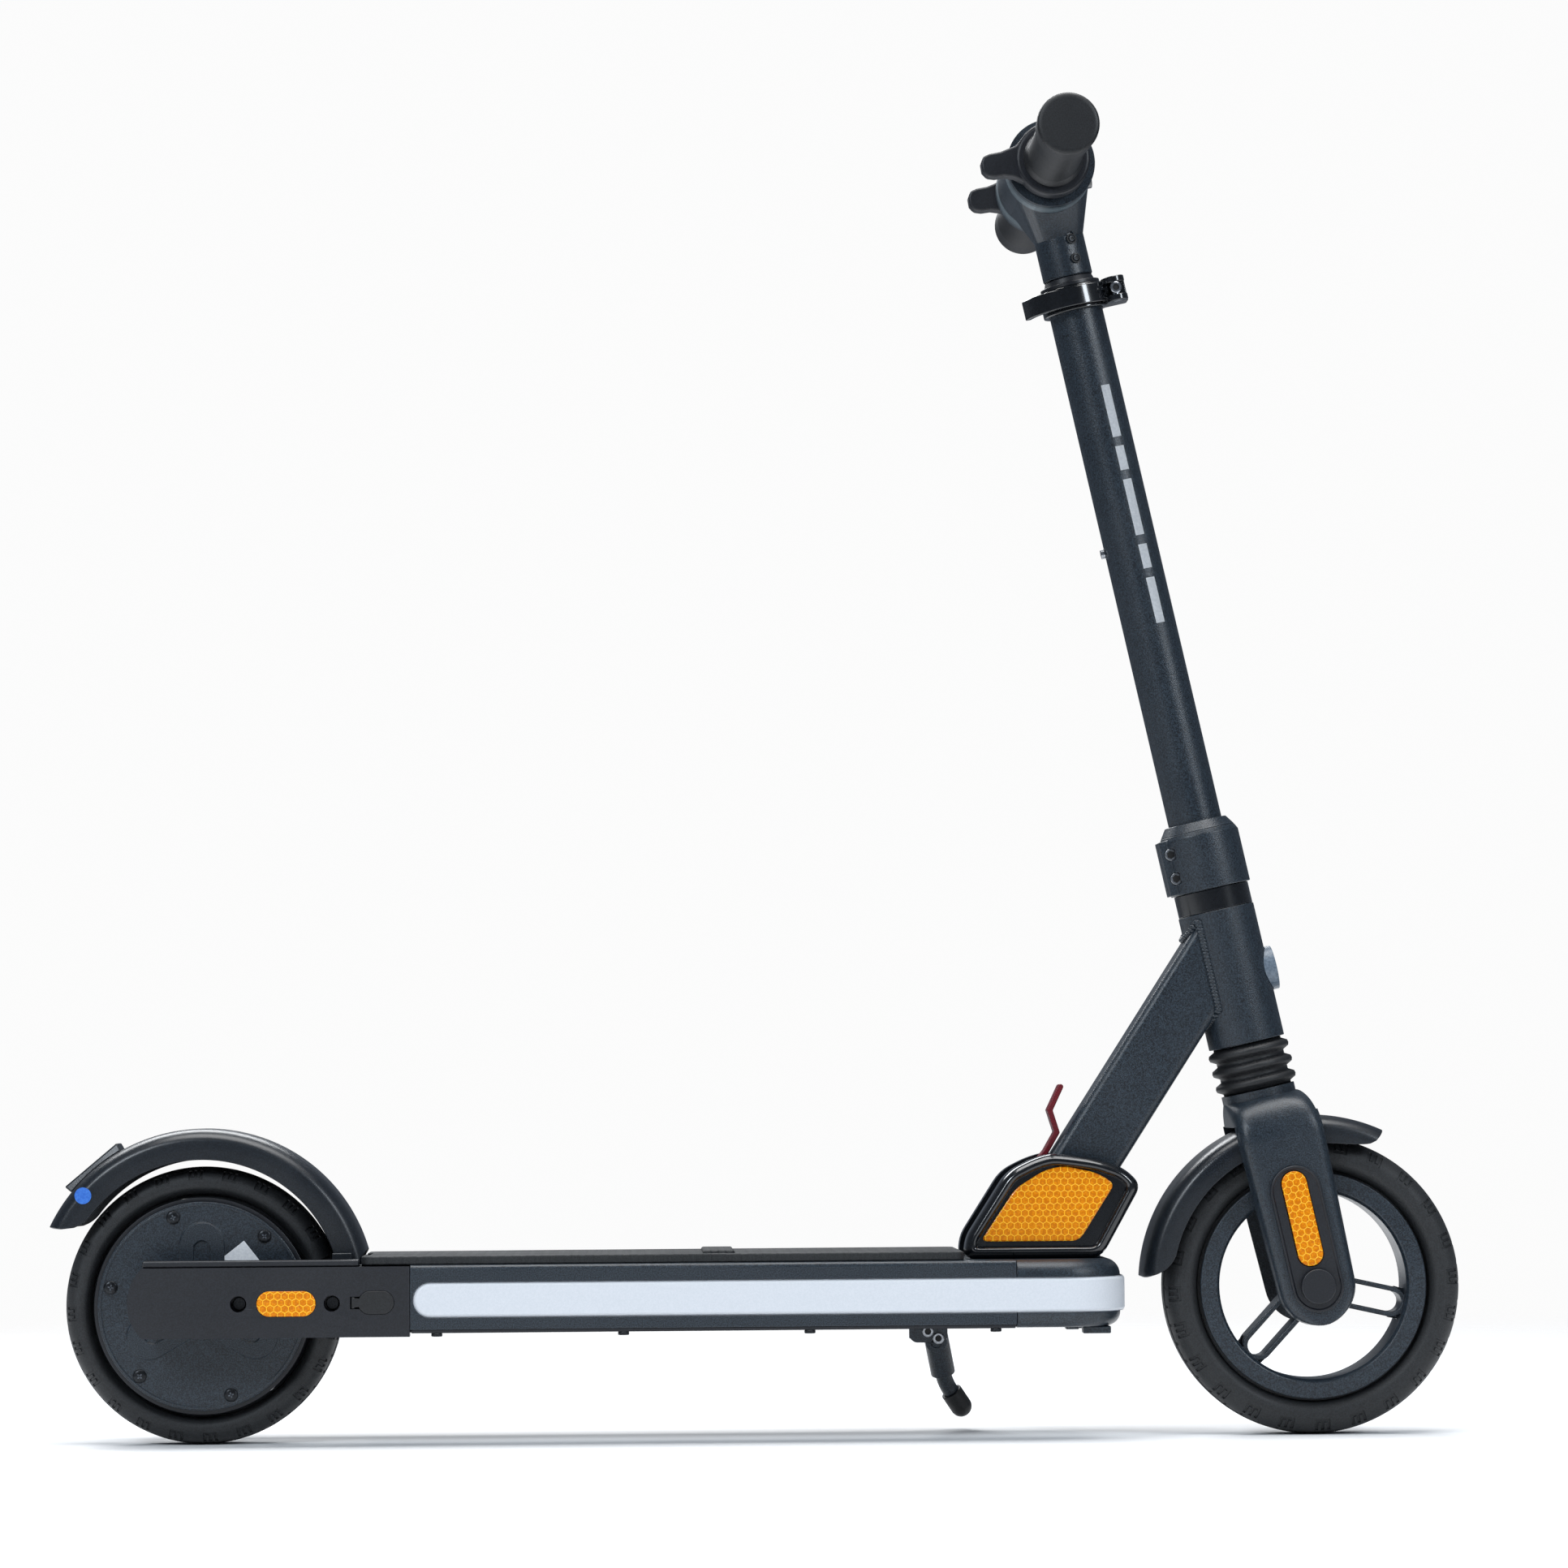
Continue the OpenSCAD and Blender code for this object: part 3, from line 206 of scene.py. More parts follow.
def copied(node):
    """A merged copy of a frame part, to be worked on."""
    shape = bmesh.new()
    shape.from_mesh(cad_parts[node].data)
    bmesh.ops.remove_doubles(shape, verts=shape.verts, dist=SAME_POINT)
    bmesh.ops.dissolve_degenerate(shape, edges=shape.edges, dist=SAME_POINT * 10)
    bmesh.ops.dissolve_limit(shape, angle_limit=radians(0.5), verts=shape.verts, edges=shape.edges)
    return shape


def piece(name, shape, body, finish, slot, *nodes, edge=0.0, sharp=32, steps=2):
    """A finished piece on its body, in place of the frame parts that it stands for."""
    mesh = bpy.data.meshes.new(name)
    for face in shape.faces:
        face.smooth = True
    shape.to_mesh(mesh)
    shape.free()
    mesh.set_sharp_from_angle(angle=radians(sharp))
    mesh.materials.append(finish)
    made = bpy.data.objects.new(name, mesh)
    scene.collection.objects.link(made)
    if edge:
        broken = made.modifiers.new("broken_edges", "BEVEL")
        broken.width = edge
        broken.segments = steps
        broken.limit_method = "ANGLE"
        broken.angle_limit = radians(sharp)
        broken.use_clamp_overlap = False
    level = made.modifiers.new("level_faces", "WEIGHTED_NORMAL")
    level.keep_sharp = True
    level.weight = 90
    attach(made, body)
    if nodes:
        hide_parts(*nodes)
    return made


def rounded(shape, parts, radius, segments, affect="EDGES"):
    """Some edges or corners of a shape, rounded over."""
    bmesh.ops.bevel(shape, geom=parts, affect=affect, offset=radius, segments=segments, profile=0.5,
                    material=-1, offset_type="OFFSET", clamp_overlap=False)


powder = surface("powder_coat", shade(11, 16, 22), shade(46, 57, 67), rough=0.36, grain=1200, depth=0.0003,
                 strength=0.6)
deck_shape = copied("deck_frame")
deck_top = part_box("deck_frame")[1].z
deck_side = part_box("deck_frame")[1].y
long_edges = [
    edge for edge in deck_shape.edges
    if all(abs(v.co.z - deck_top) < SAME_POINT for v in edge.verts)
    and all(abs(abs(v.co.y) - deck_side) < SAME_POINT for v in edge.verts)
]
rounded(deck_shape, long_edges, radius=0.0036, segments=4)
piece("deck_frame_finished", deck_shape, "deck", powder, "charcoal_coat", "deck_frame", edge=0.0005)

# Nose cap. A casting screwed on ahead of the deck frame, in the same coat, with the
# groove of the light strip between its halves and both outer rims rounded well over.
seam_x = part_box("nose_cap")[0].x
nose_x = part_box("nose_cap")[1].x - 0.0035
nose_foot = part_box("nose_cap")[0].z
nose_corner = 0.043
groove_low, groove_high = 0.092, 0.117


def outward(shape):
    """Every face of the shape turned to look out of it."""
    bmesh.ops.recalc_face_normals(shape, faces=shape.faces)
    return shape


def add_nose_half(shape, low, high, rim_z, rim_round):
    """The nose above or below its light strip, with the far rim of that half rounded over."""
    corners = [(seam_x, -deck_side), (nose_x, -deck_side), (nose_x, deck_side), (seam_x, deck_side)]
    verts = [shape.verts.new((x, y, low)) for x, y in corners]
    shape.faces.new(verts)
    rounded(shape, [v for v in verts if v.co.x > seam_x + 0.01], nose_corner, 14, "VERTICES")
    base = [f for f in shape.faces if all(abs(v.co.z - low) < SAME_POINT for v in f.verts)]
    grown = bmesh.ops.extrude_face_region(shape, geom=base)
    top = [item for item in grown["geom"] if isinstance(item, bmesh.types.BMVert)]
    bmesh.ops.translate(shape, verts=top, vec=(0, 0, high - low))
    rim = [
        edge for edge in shape.edges
        if all(abs(v.co.z - rim_z) < SAME_POINT for v in edge.verts)
        and not all(abs(v.co.x - seam_x) < SAME_POINT for v in edge.verts)
    ]
    rounded(shape, rim, rim_round, 8)


nose_shape = bmesh.new()
add_nose_half(nose_shape, groove_high, deck_top, rim_z=deck_top, rim_round=0.0118)
add_nose_half(nose_shape, nose_foot, groove_low, rim_z=nose_foot, rim_round=0.0100)
outward(nose_shape)
piece("nose_cap_rounded", nose_shape, "deck", powder, "charcoal_coat", "nose_cap", edge=0.0004, sharp=50)

# Front hooks. Small folded steel plates riveted under the nose in two pairs, a low
# one behind and a deeper one ahead of it, coated with the deck.
hook_top, hook_y, hook_width = 0.081, 0.045, 0.014


def add_block(shape, middle, size, turned=Matrix()):
    """A square block of a given size about a point."""
    place = Matrix.Translation(middle) @ turned @ Matrix.Diagonal((*size, 1))
    bmesh.ops.create_cube(shape, size=1.0, matrix=place)


hook_shape = bmesh.new()
for back, front, drop in ((0.2206, 0.2300, 0.0022), (0.2330, 0.2530, 0.0052)):
    for side in (-1, 1):
        add_block(hook_shape, ((back + front) / 2, side * hook_y, hook_top - drop / 2),
                  (front - back, hook_width, drop))
piece("front_hooks", hook_shape, "deck", powder, "charcoal_coat", edge=0.0008)

# Deck mat. A moulded rubber sheet glued on the deck, with small raised studs in rows
# and one low bump ahead of its middle.
rubber_mat = surface("mat_rubber", shade(20, 22, 24), shade(34, 37, 39), rough=0.72, grain=900,
                     depth=0.0002, strength=0.5)
mat_tree = rubber_mat.node_tree
mat_normal = mat_tree.nodes["Principled BSDF"].inputs["Normal"]
mat_place = mat_tree.nodes.new("ShaderNodeTexCoord").outputs["Object"]
studs = mat_tree.nodes.new("ShaderNodeTexVoronoi")
studs.voronoi_dimensions = "2D"
studs.inputs["Scale"].default_value = 95
studs.inputs["Randomness"].default_value = 0.0
mat_tree.links.new(mat_place, studs.inputs["Vector"])
stud_height = spread(mat_tree, studs.outputs["Distance"], low=1.0, high=0.0, start=0.26, end=0.36)
mat_grain = mat_normal.links[0].from_socket
mat_tree.links.new(raised(mat_tree, stud_height, 0.0008, 0.9, mat_grain), mat_normal)


def refined(node, body, finish, slot, edge=0.0005, sharp=32):
    """A frame part as it leaves the works, its edges broken and its curves smooth."""
    return piece(node + "_finished", copied(node), body, finish, slot, node, edge=edge, sharp=sharp)


refined("deck_mat", "deck", rubber_mat, "black_rubber", edge=0.0008)
bump_shape = bmesh.new()
add_block(bump_shape, (-0.0285, 0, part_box("deck_mat")[1].z), (0.023, 0.110, 0.0040))
piece("mat_bump", bump_shape, "deck", rubber_mat, "black_rubber", edge=0.0018, steps=4)

# Light strip. One translucent pale moulding that runs round the nose and along both
# sides in a groove of the deck.
diffuser = surface("light_diffuser", shade(204, 209, 215), shade(210, 214, 220), rough=0.42, grain=900,
                   depth=0.00003, strength=0.1, swing=0.0)
refined("light_strip", "deck", diffuser, "light_diffuser", edge=0.0022, sharp=45)

# Belly. A moulded cover under the deck with round-head screws, and inside it the
# battery pack in its shrink wrap, the controller box and the charging socket.
plastic = surface("moulded_plastic", shade(15, 17, 22), shade(26, 29, 36), rough=0.42, grain=1100,
                  depth=0.0001, strength=0.35)
steel = surface("bright_steel", shade(150, 153, 158), shade(188, 191, 195), rough=0.26, grain=700,
                depth=0.00005, strength=0.3, Metallic=1.0)
alloy = surface("bare_alloy", shade(158, 162, 168), shade(182, 186, 190), rough=0.34, grain=900,
                depth=0.00005, strength=0.3, Metallic=1.0)
wrap = surface("battery_wrap", shade(18, 60, 120), shade(28, 78, 148), rough=0.35, grain=120, depth=0.0004,
               strength=0.5)
rubber = surface("black_rubber", shade(13, 14, 16), shade(25, 27, 30), rough=0.50, grain=1000,
                 depth=0.00015, strength=0.45)
black_steel = surface("black_steel", shade(22, 24, 27), shade(40, 43, 47), rough=0.34, grain=900,
                      depth=0.00005, strength=0.3, Metallic=0.6)


def dressed(node, finish):
    """A frame part left as it is, in its own finish."""
    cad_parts[node].material_slots[0].material = finish


refined("belly_cover", "deck", plastic, "dark_plastic", edge=0.0005)
# The deck screws take the black steel finish, not bright steel, as painted shade of the deep holes and
# underside they sit in.
refined("deck_screws", "deck", black_steel, "bright_steel", edge=0.0006)
dressed("battery_pack", wrap)
dressed("controller", alloy)
dressed("charge_socket", plastic)

# Charging flap. A soft rubber flap over the charging socket, which bends open at one
# end and has a tab to pull it by.
refined("charge_cap", "charge_flap", rubber, "black_rubber", edge=0.0004)

# Rear arms and side covers. Two plates carry the motor axle, and a smooth moulded
# cover with a flange on top hides each of them, with its screws in two deep holes.
refined("rear_arms", "deck", powder, "charcoal_coat", edge=0.0006)
flange_shape = bmesh.new()
for side in (-1, 1):
    add_block(flange_shape, (-0.3625, side * 0.0645, 0.1312), (0.154, 0.018, 0.0046))
piece("cover_flanges", flange_shape, "deck", plastic, "dark_plastic", edge=0.0012, sharp=40, steps=3)
refined("side_cover_left", "deck", plastic, "dark_plastic", edge=0.0)
refined("side_cover_right", "deck", plastic, "dark_plastic", edge=0.0)

# Rear mudguard. A deep guard moulded in satin black plastic with a crease along each
# shoulder, screwed to the deck by two lugs at its front.
satin = surface("satin_plastic", shade(12, 15, 19), shade(30, 36, 43), rough=0.32, grain=1300,
                depth=0.00015, strength=0.45)
GUARD_WALL = 0.0024
TIP_DEPTH = 0.0098  # how deep a guard's skirts still are at its tips


def add_skin(shape, rows, closed=True):
    """Faces between neighbouring rows of points, which a closed skin joins all round and caps."""
    for one, two in zip(rows, rows[1:]):
        for k in range(len(one) if closed else len(one) - 1):
            on = (k + 1) % len(one)
            shape.faces.new((one[k], one[on], two[on], two[k]))
    if closed:
        shape.faces.new(rows[0])
        shape.faces.new(rows[-1])


def mudguard(name, node, body, centre, outer, skirt, half, turn, run_out, lean, lugs=()):
    """A guard bent round a wheel, its skirts run out to the rim of the sheet at both tips."""
    # From the skirt to the crown: how far below the top, and how far from the middle.
    shoulder = [(0.0090, half), (0.0056, half - 0.0014), (0.0030, half - 0.0050), (0.0012, half - 0.0094),
                (0.0002, half - 0.0150), (0.0, half - 0.0235)]
    first, last = radians(turn[0]), radians(turn[1])
    steps = 96
    shape = bmesh.new()
    rows = []
    for step in range(steps + 1):
        along = step / steps
        ends = (along * (last - first) * outer, (1 - along) * (last - first) * outer)
        depth = skirt
        for gone, length in zip(ends, run_out):
            if gone < length:
                depth = min(depth, TIP_DEPTH + (skirt - TIP_DEPTH) * (1 - (1 - gone / length) ** 2) ** 0.5)
        side = [(depth, half), ((depth + shoulder[0][0]) / 2, half)] + shoulder
        row = []
        for drop, y in side + [(drop, -y) for drop, y in reversed(side)]:
            low, high = first + lean[0] * drop / outer, last - lean[1] * drop / outer
            at = low + (high - low) * along
            x, z = centre.x + (outer - drop) * cos(at), centre.z + (outer - drop) * sin(at)
            row.append(shape.verts.new((x, y, z)))
        rows.append(row)
    add_skin(shape, rows, closed=False)
    shape.normal_update()
    crown = max(shape.faces, key=lambda f: f.calc_center_median().z)
    if crown.normal.z < 0:
        bmesh.ops.reverse_faces(shape, faces=shape.faces)
    bmesh.ops.solidify(shape, geom=shape.faces[:], thickness=GUARD_WALL)
    for box in lugs:
        add_block(shape, [(low + high) / 2 for low, high in box], [high - low for low, high in box])
    piece(name, outward(shape), body, satin, "dark_plastic", node, edge=0.0006, sharp=46)


rear_hub = Vector((-0.400125, 0, 0.100))
guard_middle = rear_hub + Vector((0, 0, 0.005))
lug_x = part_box("rear_mudguard")[1].x - 0.0237
lug_y, lug_length, lug_half, lug_rise = 0.0387, 0.014, 0.0051, (0.1010, 0.1375)
rear_lugs = [((lug_x, lug_x + lug_length), (y - lug_half, y + lug_half), lug_rise) for y in (-lug_y, lug_y)]
mudguard("rear_mudguard_moulded", "rear_mudguard", "deck", guard_middle, outer=0.1225, skirt=0.0225,
         half=0.036, turn=(16, 154.7), run_out=(0.004, 0.016), lean=(-0.9, 0.35), lugs=rear_lugs)

# Tail lamp. A black housing clipped on the guard's tail and a red lens moulded into
# it, both with a nearly flat face across the curve of the guard.
red = surface("red_lens", shade(120, 8, 12), shade(150, 14, 16), rough=0.14, grain=300, depth=0.0001,
              strength=0.2, Coat_Weight=0.6)
lamp_at, lamp_half_arc, lamp_steps = 130, 11, 8
for lamp_name, finish, slot, low_r, high_r, half, arc, rounding in (
    ("tail_lamp_housing", satin, "dark_plastic", 0.1222, 0.1289, 0.0180, (119, 141), 0.0012),
    ("tail_lamp_lens", red, "red_lens", 0.1240, 0.1290, 0.0130, (120.8, 139.2), 0.0003),
):
    lamp_shape = bmesh.new()
    lamp_rows = []
    for step in range(lamp_steps + 1):
        at = radians(arc[0] + (arc[1] - arc[0]) * step / lamp_steps)
        out = Vector((cos(at), 0, sin(at)))
        flat = cos(radians(lamp_half_arc)) / cos(at - radians(lamp_at))
        face_r, face_half = high_r * flat, half - 0.002
        section = ((low_r, -half), (face_r, -face_half), (face_r, face_half), (low_r, half))
        lamp_rows.append([
            lamp_shape.verts.new(guard_middle + out * r + Vector((0, y, 0))) for r, y in section
        ])
    add_skin(lamp_shape, lamp_rows)
    piece(lamp_name, outward(lamp_shape), "deck", finish, slot, "tail_lamp", edge=rounding, sharp=30, steps=3)

# Inspection sticker. A plain blue disc of film stuck on the near skirt of the rear
# guard.
sticker_blue = surface("sticker_blue", shade(38, 96, 190), shade(60, 120, 208), rough=0.4, grain=500,
                       depth=0.00005, strength=0.3)


def add_turned(shape, profile, place, turns=48):
    """A closed ring profile of (radius, height) turned round the Z axis of a place."""
    made = bmesh.new()
    ring = [made.verts.new((r, 0, h)) for r, h in profile]
    lines = [made.edges.new(pair) for pair in zip(ring, ring[1:] + ring[:1])]
    bmesh.ops.spin(made, geom=ring + lines, cent=(0, 0, 0), axis=(0, 0, 1), angle=2 * pi,
                   steps=turns, use_merge=True, use_duplicate=False)
    bmesh.ops.remove_doubles(made, verts=made.verts, dist=SAME_POINT)
    made.transform(place)
    joined = bpy.data.meshes.new("turned")
    made.to_mesh(joined)
    made.free()
    shape.from_mesh(joined)
    bpy.data.meshes.remove(joined)


def disc(radius, height):
    """The profile of a round plate."""
    return [(0.0, 0.0), (radius, 0.0), (radius, height), (0.0, height)]


def sideways(place, side=-1):
    """A seat at a point whose Z axis looks out of that side of the scooter."""
    return Matrix.Translation(place) @ Matrix.Rotation(-side * pi / 2, 4, "X")


sticker_shape = bmesh.new()
add_turned(sticker_shape, disc(0.0060, 0.00025), sideways((rear_hub.x - 0.085, -0.0360, 0.180)), turns=32)
piece("round_sticker", outward(sticker_shape), "deck", sticker_blue, "badge_grey", sharp=60)

# Folding hinge. A coated steel bracket with a bright pin under two glossy moulded
# covers, each with a big amber reflector of hexagon cells in a recess.
gloss = surface("gloss_black", shade(9, 11, 14), shade(16, 19, 23), rough=0.20, grain=400, depth=0.00005,
                strength=0.25, swing=0.05, Coat_Weight=0.5)


def honeycomb(name, cell, turned=0.0):
    """An amber prism reflector, its hexagon cells lying in the plane of the scooter's side."""
    finish = bpy.data.materials.new(name)
    finish.use_nodes = True
    tree = finish.node_tree
    shader = tree.nodes["Principled BSDF"]

    def vector(operation, first, second=None, value=None):
        node = tree.nodes.new("ShaderNodeVectorMath")
        node.operation = operation
        tree.links.new(first, node.inputs[0])
        if second is not None:
            tree.links.new(second, node.inputs[1])
        elif value is not None:
            node.inputs[1].default_value = value
        return node.outputs["Value" if operation in ("LENGTH", "DOT_PRODUCT") else "Vector"]

    def number(operation, first, second):
        node = tree.nodes.new("ShaderNodeMath")
        node.operation = operation
        tree.links.new(first, node.inputs[0])
        tree.links.new(second, node.inputs[1])
        return node.outputs[0]

    row_gap = 3 ** 0.5 / 2  # between rows of cells, in cell widths
    lattice, half = (1.0, 2 * row_gap, 1.0), (0.5, row_gap, 0.5)
    in_plane = (1, 1, 0)
    lay = tree.nodes.new("ShaderNodeMapping")
    lay.inputs["Rotation"].default_value = (pi / 2, 0, 0)
    lay.inputs["Scale"].default_value = (1 / cell, 1 / cell, 1 / cell)
    turn = tree.nodes.new("ShaderNodeMapping")
    turn.inputs["Rotation"].default_value = (0, turned, 0)
    tree.links.new(tree.nodes.new("ShaderNodeTexCoord").outputs["Object"], turn.inputs["Vector"])
    tree.links.new(turn.outputs[0], lay.inputs["Vector"])
    flat = vector("MULTIPLY", lay.outputs[0], value=in_plane)

    def from_centre(shift):
        moved = vector("ADD", flat, value=shift)
        part = vector("FRACTION", vector("DIVIDE", moved, value=lattice))
        centred = vector("SUBTRACT", vector("MULTIPLY", part, value=lattice), value=half)
        return vector("MULTIPLY", centred, value=in_plane)

    one, two = from_centre((0, 0, 0)), from_centre(half)
    closer = number("LESS_THAN", vector("LENGTH", two), vector("LENGTH", one))
    pick = tree.nodes.new("ShaderNodeMix")
    pick.data_type = "VECTOR"
    tree.links.new(closer, pick.inputs[0])
    tree.links.new(one, pick.inputs[4])
    tree.links.new(two, pick.inputs[5])
    inside = vector("ABSOLUTE", pick.outputs[1])
    across = vector("DOT_PRODUCT", inside, value=(1, 0, 0))
    aslant = vector("DOT_PRODUCT", inside, value=(0.5, row_gap, 0))
    wall = spread(tree, number("MAXIMUM", across, aslant), low=0.0, high=1.0, start=0.42, end=0.47)
    prism = tree.nodes.new("ShaderNodeTexVoronoi")
    prism.inputs["Scale"].default_value = 3.2
    tree.links.new(flat, prism.inputs["Vector"])
    glint = ramp(tree, prism.outputs["Distance"], 0.05, 0.75, shade(234, 144, 0), shade(204, 112, 0))
    paint = tree.nodes.new("ShaderNodeMix")
    paint.data_type = "RGBA"
    tree.links.new(wall, paint.inputs[0])
    tree.links.new(glint, paint.inputs[6])
    paint.inputs[7].default_value = shade(255, 190, 30)
    tree.links.new(paint.outputs[2], shader.inputs["Base Color"])
    tree.links.new(spread(tree, wall, low=0.22, high=0.34, start=0.0, end=1.0), shader.inputs["Roughness"])
    facets = raised(tree, prism.outputs["Distance"], 0.0002, 0.35)
    tree.links.new(raised(tree, wall, 0.0003, 0.6, facets), shader.inputs["Normal"])
    shader.inputs["Specular IOR Level"].default_value = 0.3
    shader.inputs["Coat Weight"].default_value = 0.15
    shader.inputs["Coat Roughness"].default_value = 0.08
    return finish


def rounded_line(line, inset, radius, turns=6):
    """The outline moved inwards by so many millimetres, its corners then rounded."""
    moved = []
    count = len(line)
    for k in range(count):
        back, here, on = (Vector(line[(k + d) % count]) for d in (-1, 0, 1))
        one, two = (here - back).normalized(), (on - here).normalized()
        normals = [Vector((edge.y, -edge.x)) for edge in (one, two)]
        middle = (normals[0] + normals[1]).normalized()
        moved.append(here + middle * inset / max(0.35, middle.dot(normals[0])))
    points = []
    for k in range(count):
        back, here, on = (moved[(k + d) % count] for d in (-1, 0, 1))
        one, two = (back - here), (on - here)
        reach = min(radius, one.length * 0.45, two.length * 0.45)
        start, end = here + one.normalized() * reach, here + two.normalized() * reach
        for step in range(turns + 1):
            t = step / turns
            points.append((1 - t) ** 2 * start + 2 * t * (1 - t) * here + t * t * end)
    return points


cell_width = 0.0052
amber = honeycomb("amber_cells", cell_width)
refined("hinge_bracket", "deck", powder, "charcoal_coat", edge=0.0006)
dressed("hinge_pin", steel)
# The outlines are in millimetres from the fold pivot. A level says how far in from its
# outline it lies and how far out from the middle of the scooter.
fold_pivot = Vector((0.188875, 0, 0.160))
cover_line = [(-40.5, -30.2), (-39, -15), (-9, 32), (9, 41), (22, 45), (35, 44), (57.5, 40.6), (76, 34),
              (88, 22), (59, -30.2)]
cover_levels = [(0.0, 25.8), (0.0, 41.0), (0.6, 43.6), (1.8, 45.8), (3.4, 47.3), (5.0, 47.9), (6.4, 47.6),
                (7.6, 46.4), (8.3, 44.6), (8.8, 42.6)]
panel_line = [(-29, -18), (-3, 20), (18, 33), (32, 36), (55, 31), (69, 23), (42.5, -18)]
panel_levels = [(0.0, 42.0), (0.0, 44.0), (0.5, 44.6)]
cover_shape, reflector_shape = bmesh.new(), copied("body_reflectors")
bmesh.ops.delete(reflector_shape, geom=[v for v in reflector_shape.verts if v.co.x > 0], context="VERTS")
for side in (-1, 1):
    for shape, line, levels, corner in ((cover_shape, cover_line, cover_levels, 9.0),
                                        (reflector_shape, panel_line, panel_levels, 6.0)):
        add_skin(shape, [
            [
                shape.verts.new((fold_pivot.x + p.x / 1000, side * out / 1000, fold_pivot.z + p.y / 1000))
                for p in rounded_line(line, inset, max(2.5, corner - inset * 0.6))
            ]
            for inset, out in levels
        ])
outward(cover_shape)
outward(reflector_shape)
piece("hinge_covers_moulded", cover_shape, "deck", gloss, "dark_plastic", "hinge_covers", sharp=50)
piece("body_reflectors_set", reflector_shape, "deck", amber, "amber_lens", "body_reflectors",
      edge=0.0006, sharp=40)

# Kickstand. A coated bracket held by two socket-head bolts and a bent leg that turns
# on a pivot in it, with a moulded rubber foot.
# A near-black finish laid in socket floors and round sunk screws: painted shade.
painted_shade_black = surface("painted_recess_shade", shade(3, 3, 4), shade(7, 7, 8), rough=0.6, grain=900, depth=0.0001,
                      strength=0.3)
refined("kickstand_bracket", "deck", powder, "charcoal_coat", edge=0.0004)
socket_head = [(0.0022, 0.0), (0.0042, 0.0), (0.0042, 0.0012), (0.0036, 0.0018), (0.0024, 0.0018),
               (0.0022, 0.0014)]
socket_floor = disc(0.0030, 0.0010)
bolt_shape, well_shape = bmesh.new(), bmesh.new()
for x, z in ((0.1264, 0.0741), (0.1341, 0.0690)):
    add_turned(bolt_shape, socket_head, sideways((x, 0.0460, z)), turns=24)
    # A near-black disc in each socket, painted shade.
    add_turned(well_shape, socket_floor, sideways((x, 0.0460, z)), turns=24)
piece("kickstand_bolts", outward(bolt_shape), "deck", steel, "bright_steel", sharp=40)
piece("kickstand_bolt_socket_shade", outward(well_shape), "deck", painted_shade_black, "gloss_black", sharp=40)
refined("kickstand_leg", "kickstand", powder, "gloss_black", edge=0.0005)
refined("kickstand_foot", "kickstand", rubber, "black_rubber", edge=0.0005)

# Rear axle and tyre. A steel axle with a wound stator on it stays still, and the thick
# air tyre with ticks on its shoulders and blocks on its crown sits on the motor shell.
dressed("rear_axle", steel)
dressed("motor_stator", alloy)
tyre_rubber = surface("tyre_rubber", shade(14, 15, 17), shade(32, 35, 38), rough=0.60, grain=1100,
                      depth=0.0003, strength=0.6)


def wheel_tyre(name, node, body, hub, bead, carcass, outer, bead_w, width, turns=288):
    """A tyre turned round its axle, with ticks cut in its shoulders and blocks on its crown."""
    mid = carcass + (outer - carcass) * 0.42  # the radius where the tyre is widest
    fullness = 0.8  # below one, its walls are squarer than an ellipse
    outline = [(bead, -bead_w / 2)]
    for step in range(-150, 151, 10):
        across, up = cos(radians(step)), sin(radians(step))
        reach = outer - mid if abs(step) < 90 else mid - carcass
        bulge = abs(across) ** fullness * (1 if across > 0 else -1)
        outline.append((mid + reach * bulge, width / 2 * abs(up) ** fullness * (1 if up > 0 else -1)))
    outline.append((bead, bead_w / 2))
    shape = bmesh.new()
    ring = [shape.verts.new((r, y, 0)) for r, y in outline]
    edges = [shape.edges.new(pair) for pair in zip(ring, ring[1:] + ring[:1])]
    bmesh.ops.spin(shape, geom=ring + edges, cent=(0, 0, 0), axis=(0, 1, 0), angle=2 * pi,
                   steps=turns, use_merge=True, use_duplicate=False)
    bmesh.ops.remove_doubles(shape, verts=shape.verts, dist=SAME_POINT)
    outward(shape)
    # Each shoulder has three ticks over a bar in every twelve faces round the tyre, and the
    # crown two grooves and a cut across at every sixth.
    ticks, grooves = [], []
    for face in shape.faces:
        middle = face.calc_center_median()
        r, y = hypot(middle.x, middle.z), abs(middle.y) / (width / 2)
        turn = acos(max(-1, min(1, middle.x / r)))
        if middle.z < 0:
            turn = 2 * pi - turn
        count = int(turn / (2 * pi) * turns)
        rise = (r - mid) / (outer - mid)
        if 0.42 < rise < 0.82 and count % 12 in (0, 2, 4):
            ticks.append(face)
        elif 0.30 < rise <= 0.42 and count % 12 < 5:
            ticks.append(face)
        elif rise > 0.86 and (0.18 < y < 0.34 or (y >= 0.34 and count % 6 == 0)):
            grooves.append(face)
    bmesh.ops.inset_region(shape, faces=ticks, thickness=0.00025, depth=-0.0009, use_even_offset=True)
    bmesh.ops.inset_region(shape, faces=grooves, thickness=0.0004, depth=-0.0014, use_even_offset=True)
    shape.transform(Matrix.Translation(hub))
    piece(name, shape, body, tyre_rubber, "tyre", node, sharp=38)


wheel_tyre("rear_tyre_treaded", "rear_tyre", "rear_wheel", rear_hub, bead=0.0781, carcass=0.0791,
           outer=0.100, bead_w=0.0364, width=0.052)
